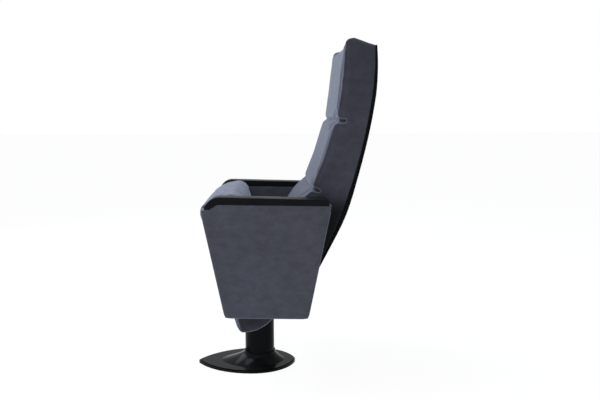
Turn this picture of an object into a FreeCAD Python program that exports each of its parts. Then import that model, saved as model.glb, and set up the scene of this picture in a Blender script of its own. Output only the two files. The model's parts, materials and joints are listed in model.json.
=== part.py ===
import FreeCAD, Part
import math
import os
import Sketcher

# Tip up auditorium seat on one floor post, seat shown tipped up.
# Millimetres, +Z up, X across the seat, the sitter looks along -Y.
# The origin is on the floor, on the axis of the post.

Vector = FreeCAD.Vector
doc = FreeCAD.newDocument("tip_up_auditorium_seat")

SIZES = {
    # Floor plate and its moulded cover
    "base_half_width": 122.0,
    "base_widest": 18.0,
    "base_front": 218.0,
    "base_rear": 126.0,
    "base_nose_radius": 22.0,
    "base_tail_radius": 60.0,
    "floor_plate_thickness": 6.0,
    "anchor_circle": 140.0,
    "anchor_hole_radius": 6.0,
    "cover_wall": 3.0,
    "rim_band": 6.5,
    "rim_step": 7.0,
    "flare_front": 137.0,
    "flare_rear": 88.0,
    "flare_half_width": 86.0,
    "flare_nose_radius": 26.0,
    "flare_tail_radius": 52.0,
    "flare_height": 36.0,
    "collar_gap": 0.5,
    # Post and the horn that carries the cross beam behind the seat
    "post_radius": 51.5,
    "post_wall": 4.0,
    "post_top": 148.0,
    "top_plate_thickness": 8.0,
    "head_flange_radius": 50.0,
    "head_flange_thickness": 8.0,
    "head_circle": 78.0,
    "head_screw_radius": 5.0,
    "cap_head_height": 5.0,
    "cap_head_ratio": 1.7,
    "hole_gap": 0.2,
    "gusset_thickness": 10.0,
    "gusset_spread": 26.0,
    "gusset_front": 12.0,
    "gusset_foot": 46.0,
    "gusset_web": 8.0,
    "horn_rear_margin": 3.0,
    "horn_heel_inset": 8.0,
    "horn_heel_drop": 36.0,
    "horn_shelf_length": 62.0,
    "horn_web_foot": 14.0,
    "beam_y": 133.0,
    "beam_z": 285.5,
    "beam_radius": 21.0,
    "beam_wall": 4.0,
    "beam_flange_thickness": 6.0,
    "beam_flange_width": 80.0,
    "beam_flange_height": 80.0,
    "beam_flange_corner": 6.0,
    "beam_bolt_radius": 5.0,
    "beam_bolt_inset": 12.0,
    "nut_room": 2.0,
    # Side panels: the whole width sets the seat, the back and the beam
    "overall_width": 620.0,
    "side_gap": 10.0,
    "panel_thickness": 60.0,
    "panel_front_top_y": -166.5,
    "panel_ledge_y": -143.0,
    "panel_ledge_z": 592.0,
    "panel_shoulder_run": 27.0,
    "panel_shoulder_rise": 17.0,
    "panel_rear_top_y": 234.0,
    "panel_rear_rise": 10.0,
    "panel_rear_bottom_y": 161.0,
    "panel_rear_bottom_z": 248.0,
    "panel_front_bottom_y": -97.0,
    "panel_front_bottom_z": 254.0,
    "panel_edge_radius": 6.0,
    "panel_padding": 10.0,
    "lining_thickness": 4.0,
    "lining_hole_room": 2.0,
    "side_frame_plate": 6.0,
    "side_frame_margin": 4.0,
    "arm_flange_width": 36.0,
    "arm_flange_front_inset": 10.0,
    "arm_flange_rear_inset": 40.0,
    "core_drop": 16.0,
    "lightening_radius": 42.0,
    "front_window_back": 130.0,
    "front_window_rise": 180.0,
    "rear_window_back": 15.0,
    "rear_window_rise": 150.0,
    # Armrests, set on the panels
    "arm_overhang": 14.6,
    "arm_front_rise": 23.5,
    "arm_rear_inset": 7.0,
    "arm_rear_rise": 19.0,
    "arm_nose_radius": 48.0,
    "arm_tail_radius": 12.0,
    "arm_edge_radius": 5.0,
    "arm_ledge_gap": 1.5,
    "arm_screw_radius": 3.0,
    "arm_screw_inset": 20.0,
    "arm_screw_bite": 8.0,
    # Hinge, return spring and stops
    "hinge_y": -74.5,
    "hinge_z": 360.5,
    "raised_lean": 16.65,
    "seat_travel": 70.0,
    "pin_radius": 8.0,
    "pin_collar": 4.0,
    "running_gap": 0.05,
    "fit_gap": 0.02,
    "bush_radius": 11.0,
    "bush_lip": 1.5,
    "bush_lip_radius": 14.0,
    "housing_flange_radius": 30.0,
    "housing_radius": 20.0,
    "housing_bore": 15.0,
    "housing_wall": 4.0,
    "housing_length": 30.0,
    "housing_end": 6.0,
    "spring_wire": 3.0,
    "spring_turns": 4.0,
    "spring_pitch": 3.8,
    "stop_radius": 45.0,
    "stop_lead": 15.0,
    "stop_stud_radius": 4.0,
    "stop_sleeve_radius": 6.0,
    "stop_head_radius": 7.0,
    "stop_head_height": 5.0,
    "stop_end_inset": 1.0,
    "stop_gap": 0.3,
    "hinge_plate_thickness": 6.0,
    "hinge_plate_low": 30.0,
    "hinge_plate_high": 64.0,
    "hinge_plate_rear": 60.0,
    "hinge_plate_front": 145.0,
    "hinge_plate_corner": 14.0,
    "hinge_boss_radius": 16.0,
    "hinge_boss_length": 12.0,
    # Seat
    "seat_underside_drop": 37.0,
    "seat_tail_radius": 193.0,
    "seat_rear_height": 84.0,
    "seat_front_height": 108.0,
    "seat_front_reach": 268.0,
    "seat_crown": 14.0,
    "seat_front_crown": 3.0,
    "seat_lip_radius": 24.0,
    "seat_tail_corner": 9.0,
    "seat_rear_corner": 10.0,
    "seat_side_rounding": 9.0,
    "seat_nose_radius": 28.0,
    "seat_board_thickness": 12.0,
    "seat_board_drop": 20.0,
    "seat_board_front": 235.0,
    "seat_board_rear": 150.0,
    "seat_tube_radius": 12.5,
    "seat_tube_wall": 2.0,
    "front_tube_reach": 120.0,
    "rear_tube_reach": 36.0,
    "seat_screw_radius": 2.5,
    "seat_screw_head": 5.0,
    "seat_screw_head_height": 3.0,
    "seat_screw_x": 150.0,
    "seat_screw_bite": 3.0,
    "seat_sweep_gap": 4.5,
    # Back
    "back_side_margin": 5.0,
    "back_joint_y": 372.0,
    "back_joint_z": 940.0,
    "back_joint_angle": 8.0,
    "back_lower_radius": 1730.0,
    "back_upper_radius": 800.0,
    "back_top_z": 1114.0,
    "back_top_rear_z": 1092.0,
    "back_bottom_z": 330.0,
    "shell_wall": 6.0,
    "shell_bottom_z": 312.0,
    "upright_depth": 20.0,
    "upright_width": 30.0,
    "upright_wall": 2.5,
    "upright_inset": 65.0,
    "upright_foot_gap": 3.0,
    "upright_top_z": 1030.0,
    "rail_radius": 9.0,
    "rail_wall": 2.0,
    "lower_rail_z": 430.0,
    "upper_rail_z": 880.0,
    "back_board_thickness": 10.0,
    "back_board_margin": 23.0,
    "back_board_rise": 8.0,
    "back_board_top_z": 1050.0,
    "bracket_thickness": 6.0,
    "bracket_top_z": 388.0,
    "back_bolt_radius": 4.0,
    "back_bolt_inset": 14.0,
    "back_bolt_spacing": 30.0,
    "shell_screw_radius": 2.5,
    "shell_screw_drop": 30.0,
    "shell_screw_rise": 90.0,
    # Core front line and the three front cushions
    "core_top_y": 302.0,
    "upper_notch_y": 285.0,
    "upper_notch_z": 860.0,
    "lower_notch_y": 205.5,
    "lower_notch_z": 637.0,
    "core_lumbar_y": 144.0,
    "core_lumbar_z": 470.0,
    "core_foot_y": 124.5,
    "core_foot_z": 440.0,
    "notch_gap": 4.0,
    "cushion_crown": 11.0,
    "cushion_edge_swell": 1.0,
    "cushion_side_rounding": 12.0,
    "cushion_rear_radius": 2.0,
    "cushion_step": 0.5,
    "headrest_top_depth": 27.5,
    "headrest_knee_depth": 24.2,
    "headrest_foot_depth": 32.0,
    "headrest_top_radius": 20.0,
    "headrest_knee_radius": 150.0,
    "headrest_foot_radius": 15.0,
    "middle_top_depth": 37.5,
    "middle_knee_depth": 30.4,
    "middle_foot_depth": 28.5,
    "middle_foot_rise": 14.5,
    "middle_top_radius": 14.0,
    "middle_knee_radius": 300.0,
    "middle_foot_radius": 12.0,
    "lumbar_top_depth": 28.5,
    "lumbar_top_rise": 11.0,
    "lumbar_shoulder_depth": 52.0,
    "lumbar_knee_depth": 81.4,
    "lumbar_foot_depth": 60.0,
    "lumbar_top_radius": 9.0,
    "lumbar_knee_radius": 60.0,
    "lumbar_foot_radius": 30.0,
    # Heights of the knees, as shares of the way down each cushion's core line
    "headrest_knee_share": 0.547,
    "middle_knee_share": 0.543,
    "lumbar_shoulder_share": 0.09,
    "lumbar_knee_share": 0.653,
    # Working allowances
    "soft_gap": 0.3,
    "cut_spare": 5.0,
    "join_overlap": 1.0,
    "least_rounding": 1.5,
}

sheet = doc.addObject("Spreadsheet::Sheet", "Sizes")
for row, (alias, value) in enumerate(SIZES.items(), start=1):
    sheet.set("A%d" % row, alias)
    sheet.set("B%d" % row, str(value))
    sheet.setAlias("B%d" % row, alias)
doc.recompute()


# A length or angle that carries its number and the sheet expression behind it
class Size:
    def __init__(self, value, text):
        self.value = value
        self.text = text

    def __add__(self, other):
        other = as_size(other)
        return Size(self.value + other.value, "(%s + %s)" % (self.text, other.text))

    def __sub__(self, other):
        other = as_size(other)
        return Size(self.value - other.value, "(%s - %s)" % (self.text, other.text))

    def __mul__(self, other):
        other = as_size(other)
        return Size(self.value * other.value, "(%s * %s)" % (self.text, other.text))

    def __truediv__(self, other):
        other = as_size(other)
        return Size(self.value / other.value, "(%s / %s)" % (self.text, other.text))

    def __neg__(self):
        return Size(-self.value, "(0 - %s)" % self.text)


def as_size(thing):
    if isinstance(thing, Size):
        return thing
    return Size(float(thing), repr(float(thing)))


def size(alias):
    return Size(float(sheet.get(alias)), "Sizes." + alias)


def number(alias):
    return float(sheet.get(alias))


def cosine(angle):
    return Size(math.cos(math.radians(angle.value)), "cos(%s * 1 deg)" % angle.text)


def sine(angle):
    return Size(math.sin(math.radians(angle.value)), "sin(%s * 1 deg)" % angle.text)


# Sketch helpers: every corner, centre and radius is bound to the sheet

pieces = {}


def keep(thing, label):
    thing.Label = label
    pieces[label] = thing
    return thing


def new_body(name):
    return doc.addObject("PartDesign::Body", name)


def new_sketch(body, name, plane="YZ_Plane", height=None):
    sketch = body.newObject("Sketcher::SketchObject", name)
    support = [item for item in body.Origin.OriginFeatures if item.Role == plane][0]
    sketch.AttachmentSupport = [(support, "")]
    sketch.MapMode = "FlatFace"
    if height is not None:
        sketch.AttachmentOffset = FreeCAD.Placement(Vector(0, 0, height.value), FreeCAD.Rotation())
        sketch.setExpression("AttachmentOffset.Base.z", height.text)
    return sketch


def bind(sketch, kind, numbers, length):
    index = sketch.addConstraint(Sketcher.Constraint(kind, *numbers, length.value))
    sketch.setExpression("Constraints[%d]" % index, length.text)


def bind_point(sketch, geometry, end, across, up):
    bind(sketch, "DistanceX", (-1, 1, geometry, end), across)
    bind(sketch, "DistanceY", (-1, 1, geometry, end), up)


def outline(sketch, corners):
    """Closed outline, anticlockwise; a corner is (across, up) or (across, up, radius)."""
    corners = [tuple(as_size(item) for item in corner) for corner in corners]
    count = len(corners)
    places = [Vector(corner[0].value, corner[1].value, 0) for corner in corners]
    entry = []
    leave = []
    arcs = {}
    for index, corner in enumerate(corners):
        here = places[index]
        if len(corner) == 2:
            entry.append(here)
            leave.append(here)
            continue
        back = (places[index - 1] - here).normalize()
        ahead = (places[(index + 1) % count] - here).normalize()
        half = back.getAngle(ahead) / 2
        reach = corner[2].value / math.tan(half)
        entry.append(here + back * reach)
        leave.append(here + ahead * reach)
        middle = (back + ahead).normalize() * (corner[2].value / math.sin(half))
        arcs[index] = here + middle
    lines = []
    for index in range(count):
        after = (index + 1) % count
        lines.append(sketch.addGeometry(Part.LineSegment(leave[index], entry[after]), False))
    for index, corner in enumerate(corners):
        before = lines[index - 1]
        following = lines[index]
        if index not in arcs:
            sketch.addConstraint(Sketcher.Constraint("Coincident", before, 2, following, 1))
            bind_point(sketch, following, 1, corner[0], corner[1])
            continue
        centre = arcs[index]
        first = entry[index] - centre
        last = leave[index] - centre
        turns_left = (first.x * last.y - first.y * last.x) > 0
        start, finish = (first, last) if turns_left else (last, first)
        begin = math.atan2(start.y, start.x)
        end = math.atan2(finish.y, finish.x)
        if end < begin:
            end += 2 * math.pi
        circle = Part.Circle(centre, Vector(0, 0, 1), corner[2].value)
        arc = sketch.addGeometry(Part.ArcOfCircle(circle, begin, end), False)
        point = sketch.addGeometry(Part.Point(places[index]), True)
        bind_point(sketch, point, 1, corner[0], corner[1])
        sketch.addConstraint(Sketcher.Constraint("PointOnObject", point, 1, before))
        sketch.addConstraint(Sketcher.Constraint("PointOnObject", point, 1, following))
        near, far = (1, 2) if turns_left else (2, 1)
        sketch.addConstraint(Sketcher.Constraint("Tangent", before, 2, arc, near))
        sketch.addConstraint(Sketcher.Constraint("Tangent", following, 1, arc, far))
        bind(sketch, "Radius", (arc,), corner[2])


def round_hole(sketch, across, up, radius):
    across, up, radius = as_size(across), as_size(up), as_size(radius)
    centre = Vector(across.value, up.value, 0)
    circle = sketch.addGeometry(Part.Circle(centre, Vector(0, 0, 1), radius.value), False)
    bind_point(sketch, circle, 3, across, up)
    bind(sketch, "Radius", (circle,), radius)


def pad(body, sketch, length, both_ways=False):
    feature = body.newObject("PartDesign::Pad", sketch.Name + "_pad")
    feature.Profile = sketch
    feature.setExpression("Length", as_size(length).text)
    feature.Midplane = both_ways
    sketch.Visibility = False
    doc.recompute()
    return feature


def pocket(body, sketch, depth):
    """Cuts along the sketch's own normal, away from its origin plane."""
    before = body.Shape.Volume
    feature = body.newObject("PartDesign::Pocket", sketch.Name + "_pocket")
    feature.Profile = sketch
    feature.setExpression("Length", as_size(depth).text)
    feature.Reversed = True
    sketch.Visibility = False
    doc.recompute()
    if not body.Shape.Volume < before - 1:
        raise RuntimeError(sketch.Name + " cut nothing")
    return feature


def layer(body, name, corners, start, length, holes=()):
    """A plate parallel to the seat's side, from start outwards along X."""
    sketch = new_sketch(body, name, "YZ_Plane", as_size(start))
    outline(sketch, corners)
    for hole in holes:
        round_hole(sketch, *hole)
    return pad(body, sketch, length)


def turned(name, corners, axis="H_Axis"):
    """A turned body; corners are (along, radius) about X or (radius, height) about Z."""
    body = new_body(name)
    sketch = new_sketch(body, name + "_profile", "XZ_Plane")
    outline(sketch, corners)
    feature = body.newObject("PartDesign::Revolution", name + "_turn")
    feature.Profile = sketch
    feature.ReferenceAxis = (sketch, [axis])
    feature.Angle = 360
    sketch.Visibility = False
    doc.recompute()
    return body


def place(thing, across=0, along=0, up=0, lean=None):
    across, along, up = as_size(across), as_size(along), as_size(up)
    angle = 0 if lean is None else lean.value
    turn = FreeCAD.Rotation(Vector(1, 0, 0), angle)
    thing.Placement = FreeCAD.Placement(Vector(across.value, along.value, up.value), turn)
    thing.setExpression("Placement.Base.x", across.text)
    thing.setExpression("Placement.Base.y", along.text)
    thing.setExpression("Placement.Base.z", up.text)
    if lean is not None:
        thing.setExpression("Placement.Rotation.Angle", lean.text)
    return thing


def on_seat(thing):
    """Seat pieces are drawn about the hinge: local Z along the seat, local Y up from it."""
    return place(thing, 0, size("hinge_y"), size("hinge_z"), size("raised_lean"))


def keep_pair(thing, name):
    """The left piece is drawn; the right one is its mirror image."""
    keep(thing, name + "_left")
    other = doc.addObject("Part::Mirroring", name + "_right")
    other.Source = thing
    other.Normal = Vector(1, 0, 0)
    keep(other, name + "_right")
    doc.recompute()


def keep_shape(label, shape, lean_with_seat=False):
    """A piece whose form is worked out from the sheet's numbers."""
    feature = doc.addObject("Part::Feature", label)
    feature.Shape = shape
    if lean_with_seat:
        on_seat(feature)
    return keep(feature, label)


def fillet(body, base, edges, radius):
    feature = body.newObject("PartDesign::Fillet", body.Name + "_rounding")
    feature.Base = (base, edges)
    feature.setExpression("Radius", as_size(radius).text)
    doc.recompute()
    return feature


def edges_where(shape, test):
    return ["Edge%d" % (index + 1) for index, edge in enumerate(shape.Edges) if test(edge)]


# Shared places
seat_side = size("overall_width") / 2 - size("panel_thickness") - size("side_gap")
panel_inner = seat_side + size("side_gap")
panel_outer = panel_inner + size("panel_thickness")
frame_inner = panel_inner + size("lining_thickness")
frame_outer = frame_inner + size("side_frame_plate")
cover_inner = panel_outer - size("panel_padding")
gap = size("soft_gap")
spare = size("cut_spare")
overlap = size("join_overlap")
back_half = seat_side + size("back_side_margin")
board_half = back_half - size("back_board_margin")
upright_inner = back_half - size("upright_inset")
shoulder_y = size("panel_ledge_y") + size("panel_shoulder_run")
shoulder_z = size("panel_ledge_z") + size("panel_shoulder_rise")
rear_top_y = size("panel_rear_top_y")
rear_top_z = size("panel_ledge_z") + size("panel_rear_rise")
hinge_y = size("hinge_y")
hinge_z = size("hinge_z")


# The egg-shaped outline of the base: side arcs that meet a small nose and tail
def egg_wire(half_width, widest, front, rear, nose, tail, height):
    def side_arc(reach, end_radius):
        """Radius of the side arc and the angle at which it meets the end arc."""
        along = reach - end_radius
        if along < 0.01:
            return half_width, math.radians(60)
        radius = (half_width ** 2 + along ** 2 - end_radius ** 2) / (2 * (half_width - end_radius))
        return radius, math.atan2(along, radius - half_width)

    def on_side(radius, angle, direction):
        across = half_width - radius + radius * math.cos(angle)
        return Vector(across, direction * radius * math.sin(angle), 0)

    def arc(start, through, finish):
        shift = Vector(0, -widest, height)
        return Part.Arc(start + shift, through + shift, finish + shift).toShape()

    def flip(point):
        return Vector(-point.x, point.y, 0)

    front_reach = front - widest
    rear_reach = rear + widest
    front_radius, front_angle = side_arc(front_reach, nose)
    rear_radius, rear_angle = side_arc(rear_reach, tail)
    front_joint = on_side(front_radius, front_angle, -1)
    rear_joint = on_side(rear_radius, rear_angle, 1)
    widest_point = Vector(half_width, 0, 0)
    front_middle = on_side(front_radius, front_angle / 2, -1)
    rear_middle = on_side(rear_radius, rear_angle / 2, 1)
    nose_tip = Vector(0, -front_reach, 0)
    tail_tip = Vector(0, rear_reach, 0)
    edges = [
        arc(front_joint, front_middle, widest_point),
        arc(widest_point, rear_middle, rear_joint),
        arc(rear_joint, tail_tip, flip(rear_joint)),
        arc(flip(rear_joint), flip(rear_middle), flip(widest_point)),
        arc(flip(widest_point), flip(front_middle), flip(front_joint)),
        arc(flip(front_joint), nose_tip, front_joint),
    ]
    return Part.Wire(edges)


def base_wire(inset, height):
    return egg_wire(
        number("base_half_width") - inset,
        number("base_widest"),
        number("base_front") - inset,
        number("base_rear") - inset,
        number("base_nose_radius") - inset,
        number("base_tail_radius") - inset,
        height,
    )


def base_slab(inset, low, high):
    return Part.Face(base_wire(inset, low)).extrude(Vector(0, 0, high - low))


# Floor plate: steel, four anchor holes under the trumpet of the cover
def make_floor_plate():
    inset = number("rim_step") + number("cover_wall") + number("soft_gap")
    thickness = number("floor_plate_thickness")
    plate = base_slab(inset, 0, thickness)
    reach = number("anchor_circle") / 2 * math.sqrt(0.5)
    for across in (-reach, reach):
        for along in (-reach, reach):
            drill = Part.makeCylinder(number("anchor_hole_radius"), thickness, Vector(across, along, 0))
            plate = plate.cut(drill)
    keep_shape("floor_plate", plate)


# Base cover: thin shell with a stepped rim and a trumpet that runs forward in a point
def flare_solid(inset, low, high, lift):
    steps = 5
    collar = number("post_radius") + number("collar_gap") + number("cover_wall")
    wires = []
    for index in range(steps):
        rise = index / (steps - 1)
        spread = (1 - rise) ** 2

        def between(foot, top):
            return top + (foot - top) * spread - inset

        wires.append(egg_wire(
            between(number("flare_half_width"), collar),
            number("base_widest") * spread,
            between(number("flare_front"), collar),
            between(number("flare_rear"), collar),
            between(number("flare_nose_radius"), collar),
            between(number("flare_tail_radius"), collar),
            low + (high - low) * rise + lift * (1 - rise),
        ))
    return Part.makeLoft(wires, True, False)


def make_base_cover():
    wall = number("cover_wall")
    under = number("floor_plate_thickness") + number("soft_gap")
    top = under + wall
    peak = top + number("flare_height")
    band = number("rim_band")
    step = number("rim_step")
    outside = base_slab(0, 0, band).fuse(base_slab(step, band, top))
    outside = outside.fuse(flare_solid(0, top, peak, 0))
    cover = outside.cut(base_slab(wall, -1, band - wall))
    cover = cover.cut(base_slab(step + wall, -1, under))
    cover = cover.cut(flare_solid(wall, top, peak, -wall))
    keep_shape("base_cover", cover.removeSplitter())


# Post, its top plate and the horn with its two gussets
def make_post():
    outer = size("post_radius")
    foot = size("floor_plate_thickness")
    corners = [
        (outer - size("post_wall"), foot),
        (outer, foot),
        (outer, size("post_top")),
        (outer - size("post_wall"), size("post_top")),
    ]
    keep(turned("pedestal_post", corners, "V_Axis"), "pedestal_post")


def make_top_plate():
    body = new_body("post_top_plate")
    sketch = new_sketch(body, "top_plate_outline", "XY_Plane", size("post_top"))
    round_hole(sketch, 0, 0, size("post_radius"))
    head_holes(sketch)
    pad(body, sketch, size("top_plate_thickness"))
    keep(body, "post_top_plate")


def head_holes(sketch):
    reach = size("head_circle") / 2 * math.sqrt(0.5)
    for across in (-reach, reach):
        for along in (-reach, reach):
            round_hole(sketch, across, along, size("head_screw_radius") + size("hole_gap"))


def make_post_head():
    body = new_body("post_head")
    flange_low = size("post_top") + size("top_plate_thickness")
    flange_top = flange_low + size("head_flange_thickness")
    sketch = new_sketch(body, "head_flange", "XY_Plane", flange_low)
    round_hole(sketch, 0, 0, size("head_flange_radius"))
    head_holes(sketch)
    pad(body, sketch, size("head_flange_thickness"))
    thickness = size("gusset_thickness")
    spread = size("gusset_spread")
    rear = size("beam_y") + size("beam_radius") + size("horn_rear_margin")
    shelf = size("beam_z") - size("beam_radius") / 2
    relief = size("seat_tail_radius") + size("seat_sweep_gap")
    foot = flange_top - overlap
    heel = rear - size("horn_heel_inset")
    heel_low = shelf - size("horn_heel_drop")
    profile = [
        (-size("gusset_front"), foot),
        (size("gusset_foot"), foot),
        (heel, heel_low),
        (rear, shelf),
        (rear - size("horn_shelf_length"), shelf),
    ]
    for side, start in (("left", spread / 2 - thickness / 2), ("right", -(spread + thickness) / 2)):
        layer(body, "gusset_" + side, profile, start, thickness)
    web_start = -(spread - thickness) / 2
    web = [
        (size("gusset_foot") - size("horn_web_foot"), foot),
        (size("gusset_foot"), foot),
        (heel, heel_low),
        (heel - size("gusset_web"), heel_low + size("gusset_web") / 2),
    ]
    layer(body, "horn_web", web, web_start, spread - thickness)
    cut = new_sketch(body, "beam_seat", "YZ_Plane", -(spread + thickness) / 2)
    round_hole(cut, size("beam_y"), size("beam_z"), size("beam_radius"))
    pocket(body, cut, spread + thickness)
    sweep = new_sketch(body, "seat_relief", "YZ_Plane", -(spread + thickness) / 2)
    round_hole(sweep, hinge_y, hinge_z, relief)
    pocket(body, sweep, spread + thickness)
    keep(body, "post_head")


def cap_screw(grip, radius, nut=0.0):
    """A screw along +Z whose head sits below the origin; a nut may follow the grip."""
    head = number("cap_head_height")
    head_radius = radius * number("cap_head_ratio")
    solid = Part.makeCylinder(head_radius, head, Vector(0, 0, -head))
    solid = solid.fuse(Part.makeCylinder(radius, grip + nut))
    if nut:
        solid = solid.fuse(Part.makeCylinder(head_radius, nut, Vector(0, 0, grip)))
    return solid.removeSplitter()


def set_along(shape, start, direction):
    turn = FreeCAD.Rotation(Vector(0, 0, 1), direction)
    shape.Placement = FreeCAD.Placement(start, turn)
    return shape


def make_head_screws():
    top = number("post_top") + number("top_plate_thickness") + number("head_flange_thickness")
    reach = number("head_circle") / 2 * math.sqrt(0.5)
    radius = number("head_screw_radius")
    length = number("top_plate_thickness") + number("head_flange_thickness")
    solids = []
    for across in (-reach, reach):
        for along in (-reach, reach):
            bolt = cap_screw(length, radius)
            solids.append(set_along(bolt, Vector(across, along, top), Vector(0, 0, -1)))
    keep_shape("head_screws", Part.makeCompound(solids))


# Cross beam: round tube with a bolting plate on each end
def beam_flange_corners():
    rear = size("beam_y") + size("beam_radius")
    front = rear - size("beam_flange_width")
    low = size("beam_z") - size("beam_radius")
    high = low + size("beam_flange_height")
    return rear, front, low, high


def beam_bolt_places():
    rear, front, low, high = beam_flange_corners()
    inset = size("beam_bolt_inset")
    above = size("beam_y") - size("beam_radius")
    return [(front + inset, low + inset), (front + inset, high - inset), (above, high - inset)]


def make_cross_beam():
    body = new_body("cross_beam")
    rear, front, low, high = beam_flange_corners()
    thickness = size("beam_flange_thickness")
    tube_end = frame_inner - thickness
    sketch = new_sketch(body, "beam_tube", "YZ_Plane", -tube_end)
    round_hole(sketch, size("beam_y"), size("beam_z"), size("beam_radius"))
    round_hole(sketch, size("beam_y"), size("beam_z"), size("beam_radius") - size("beam_wall"))
    pad(body, sketch, tube_end * 2)
    turn = size("beam_flange_corner")
    corners = [(front, low, turn), (rear, low, turn), (rear, high, turn), (front, high, turn)]
    bolts = [(y, z, size("beam_bolt_radius") + size("hole_gap")) for y, z in beam_bolt_places()]
    layer(body, "beam_plate_left", corners, tube_end, thickness, bolts)
    layer(body, "beam_plate_right", corners, -frame_inner, thickness, bolts)
    keep(body, "cross_beam")


def make_beam_bolts():
    radius = number("beam_bolt_radius")
    start = frame_inner.value - number("beam_flange_thickness")
    grip = frame_outer.value - start
    solids = []
    for y, z in beam_bolt_places():
        for side in (-1, 1):
            bolt = cap_screw(grip, radius, radius * 1.6)
            solids.append(set_along(bolt, Vector(start * side, y.value, z.value), Vector(side, 0, 0)))
    keep_shape("beam_bolts", Part.makeCompound(solids))


# Side panels: upholstered cover, timber core, steel plate and thin inner lining
def front_edge(height):
    fall = (size("panel_front_bottom_y") - size("panel_front_top_y"))
    return size("panel_front_top_y") + (size("panel_ledge_z") - height) * fall / (
        size("panel_ledge_z") - size("panel_front_bottom_z"))


def rear_edge(height):
    fall = (size("panel_rear_bottom_y") - rear_top_y)
    return rear_top_y + (rear_top_z - height) * fall / (rear_top_z - size("panel_rear_bottom_z"))


def panel_inset(inset, high):
    low = size("panel_front_bottom_z") + inset
    return [
        (front_edge(low) + inset, low),
        (rear_edge(low) - inset, low),
        (rear_edge(high) - inset, high),
        (front_edge(high) + inset, high),
    ]


pocket_top = size("panel_ledge_z") - size("panel_padding")
frame_inset = size("panel_padding") + size("side_frame_margin")
stop_world_angle = size("raised_lean") + size("seat_travel") + size("stop_lead")
stop_y = hinge_y + size("stop_radius") * cosine(stop_world_angle)
stop_z = hinge_z + size("stop_radius") * sine(stop_world_angle)
arm_screw_end = shoulder_z + size("arm_screw_bite")


def make_side_cover():
    body = new_body("side_cover")
    corners = [
        (size("panel_front_bottom_y"), size("panel_front_bottom_z")),
        (size("panel_rear_bottom_y"), size("panel_rear_bottom_z")),
        (rear_top_y, rear_top_z),
        (shoulder_y, shoulder_z),
        (size("panel_ledge_y"), size("panel_ledge_z")),
        (size("panel_front_top_y"), size("panel_ledge_z")),
    ]
    base = layer(body, "side_cover_outline", corners, panel_inner, size("panel_thickness"))

    def on_rim(edge):
        middle = edge.CenterOfMass
        flat = edge.BoundBox.XLength < 0.01
        under_arm = middle.z > number("panel_ledge_z") + overlap.value
        return flat and abs(middle.x - panel_outer.value) < 0.01 and not under_arm

    fillet(body, base, edges_where(base.Shape, on_rim), size("panel_edge_radius"))
    hollow = new_sketch(body, "side_cover_hollow", "YZ_Plane", panel_inner)
    outline(hollow, panel_inset(size("panel_padding"), pocket_top))
    pocket(body, hollow, cover_inner - panel_inner)
    arm_screw_holes(body, "side_cover_holes", pocket_top - spare, arm_screw_end - pocket_top + spare)
    keep_pair(body, "side_cover")


def make_side_lining():
    body = new_body("side_lining")
    rear, front, low, high = beam_flange_corners()
    corners = panel_inset(size("panel_padding") + gap, pocket_top - gap)
    holes = [
        (hinge_y, hinge_z, size("bush_lip_radius") + size("lining_hole_room")),
        (stop_y, stop_z, size("stop_sleeve_radius") + size("lining_hole_room")),
    ]
    layer(body, "side_lining_outline", corners, panel_inner, size("lining_thickness"), holes)
    window = new_sketch(body, "beam_window", "YZ_Plane", panel_inner)
    outline(window, [
        (front - gap, low - spare),
        (rear + gap, low - spare),
        (rear + gap, high + gap),
        (front - gap, high + gap),
    ])
    pocket(body, window, size("lining_thickness"))
    keep_pair(body, "side_lining")


def make_side_frame():
    body = new_body("side_frame")
    bolt = size("beam_bolt_radius") + size("hole_gap")
    top = pocket_top - gap
    window = size("lightening_radius")
    corners = panel_inset(frame_inset, top)
    holes = [
        (hinge_y, hinge_z, size("bush_radius") + size("fit_gap")),
        (stop_y, stop_z, size("stop_stud_radius") + size("fit_gap")),
        (size("beam_y") - size("front_window_back"), size("beam_z") + size("front_window_rise"), window),
        (size("beam_y") - size("rear_window_back"), size("beam_z") + size("rear_window_rise"), window),
    ]
    holes += [(y, z, bolt) for y, z in beam_bolt_places()]
    layer(body, "side_frame_plate", corners, frame_inner, size("side_frame_plate"), holes)
    front, rear = arm_flange_ends()
    ledge = [
        (front, top - size("side_frame_plate")),
        (rear, top - size("side_frame_plate")),
        (rear, top),
        (front, top),
    ]
    layer(body, "arm_flange", ledge, frame_outer - overlap, size("arm_flange_width"))
    arm_screw_holes(body, "side_frame_holes", top - size("side_frame_plate"), size("side_frame_plate"))
    keep_pair(body, "side_frame")


def arm_flange_ends():
    return shoulder_y + size("arm_flange_front_inset"), rear_top_y - size("arm_flange_rear_inset")


def arm_screw_places():
    front, rear = arm_flange_ends()
    inset = size("arm_screw_inset")
    return [front + inset, (front + rear) / 2, rear - inset]


def arm_screw_x():
    return frame_outer + size("arm_flange_width") / 2


def arm_screw_holes(body, name, start, depth):
    cut = new_sketch(body, name, "XY_Plane", start)
    for along in arm_screw_places():
        round_hole(cut, arm_screw_x(), along, size("arm_screw_radius") + size("hole_gap"))
    pocket(body, cut, depth)


def make_side_core():
    body = new_body("side_core")
    top = pocket_top - size("side_frame_plate") - size("core_drop")
    corners = panel_inset(size("panel_padding") + gap, top)
    nut = size("beam_bolt_radius") * size("cap_head_ratio") + size("nut_room")
    holes = [
        (hinge_y, hinge_z, size("housing_flange_radius") + gap),
        (stop_y, stop_z, size("stop_head_radius") + gap),
    ]
    holes += [(y, z, nut) for y, z in beam_bolt_places()]
    layer(body, "side_core_outline", corners, frame_outer, cover_inner - gap - frame_outer, holes)
    keep_pair(body, "side_core")


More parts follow.
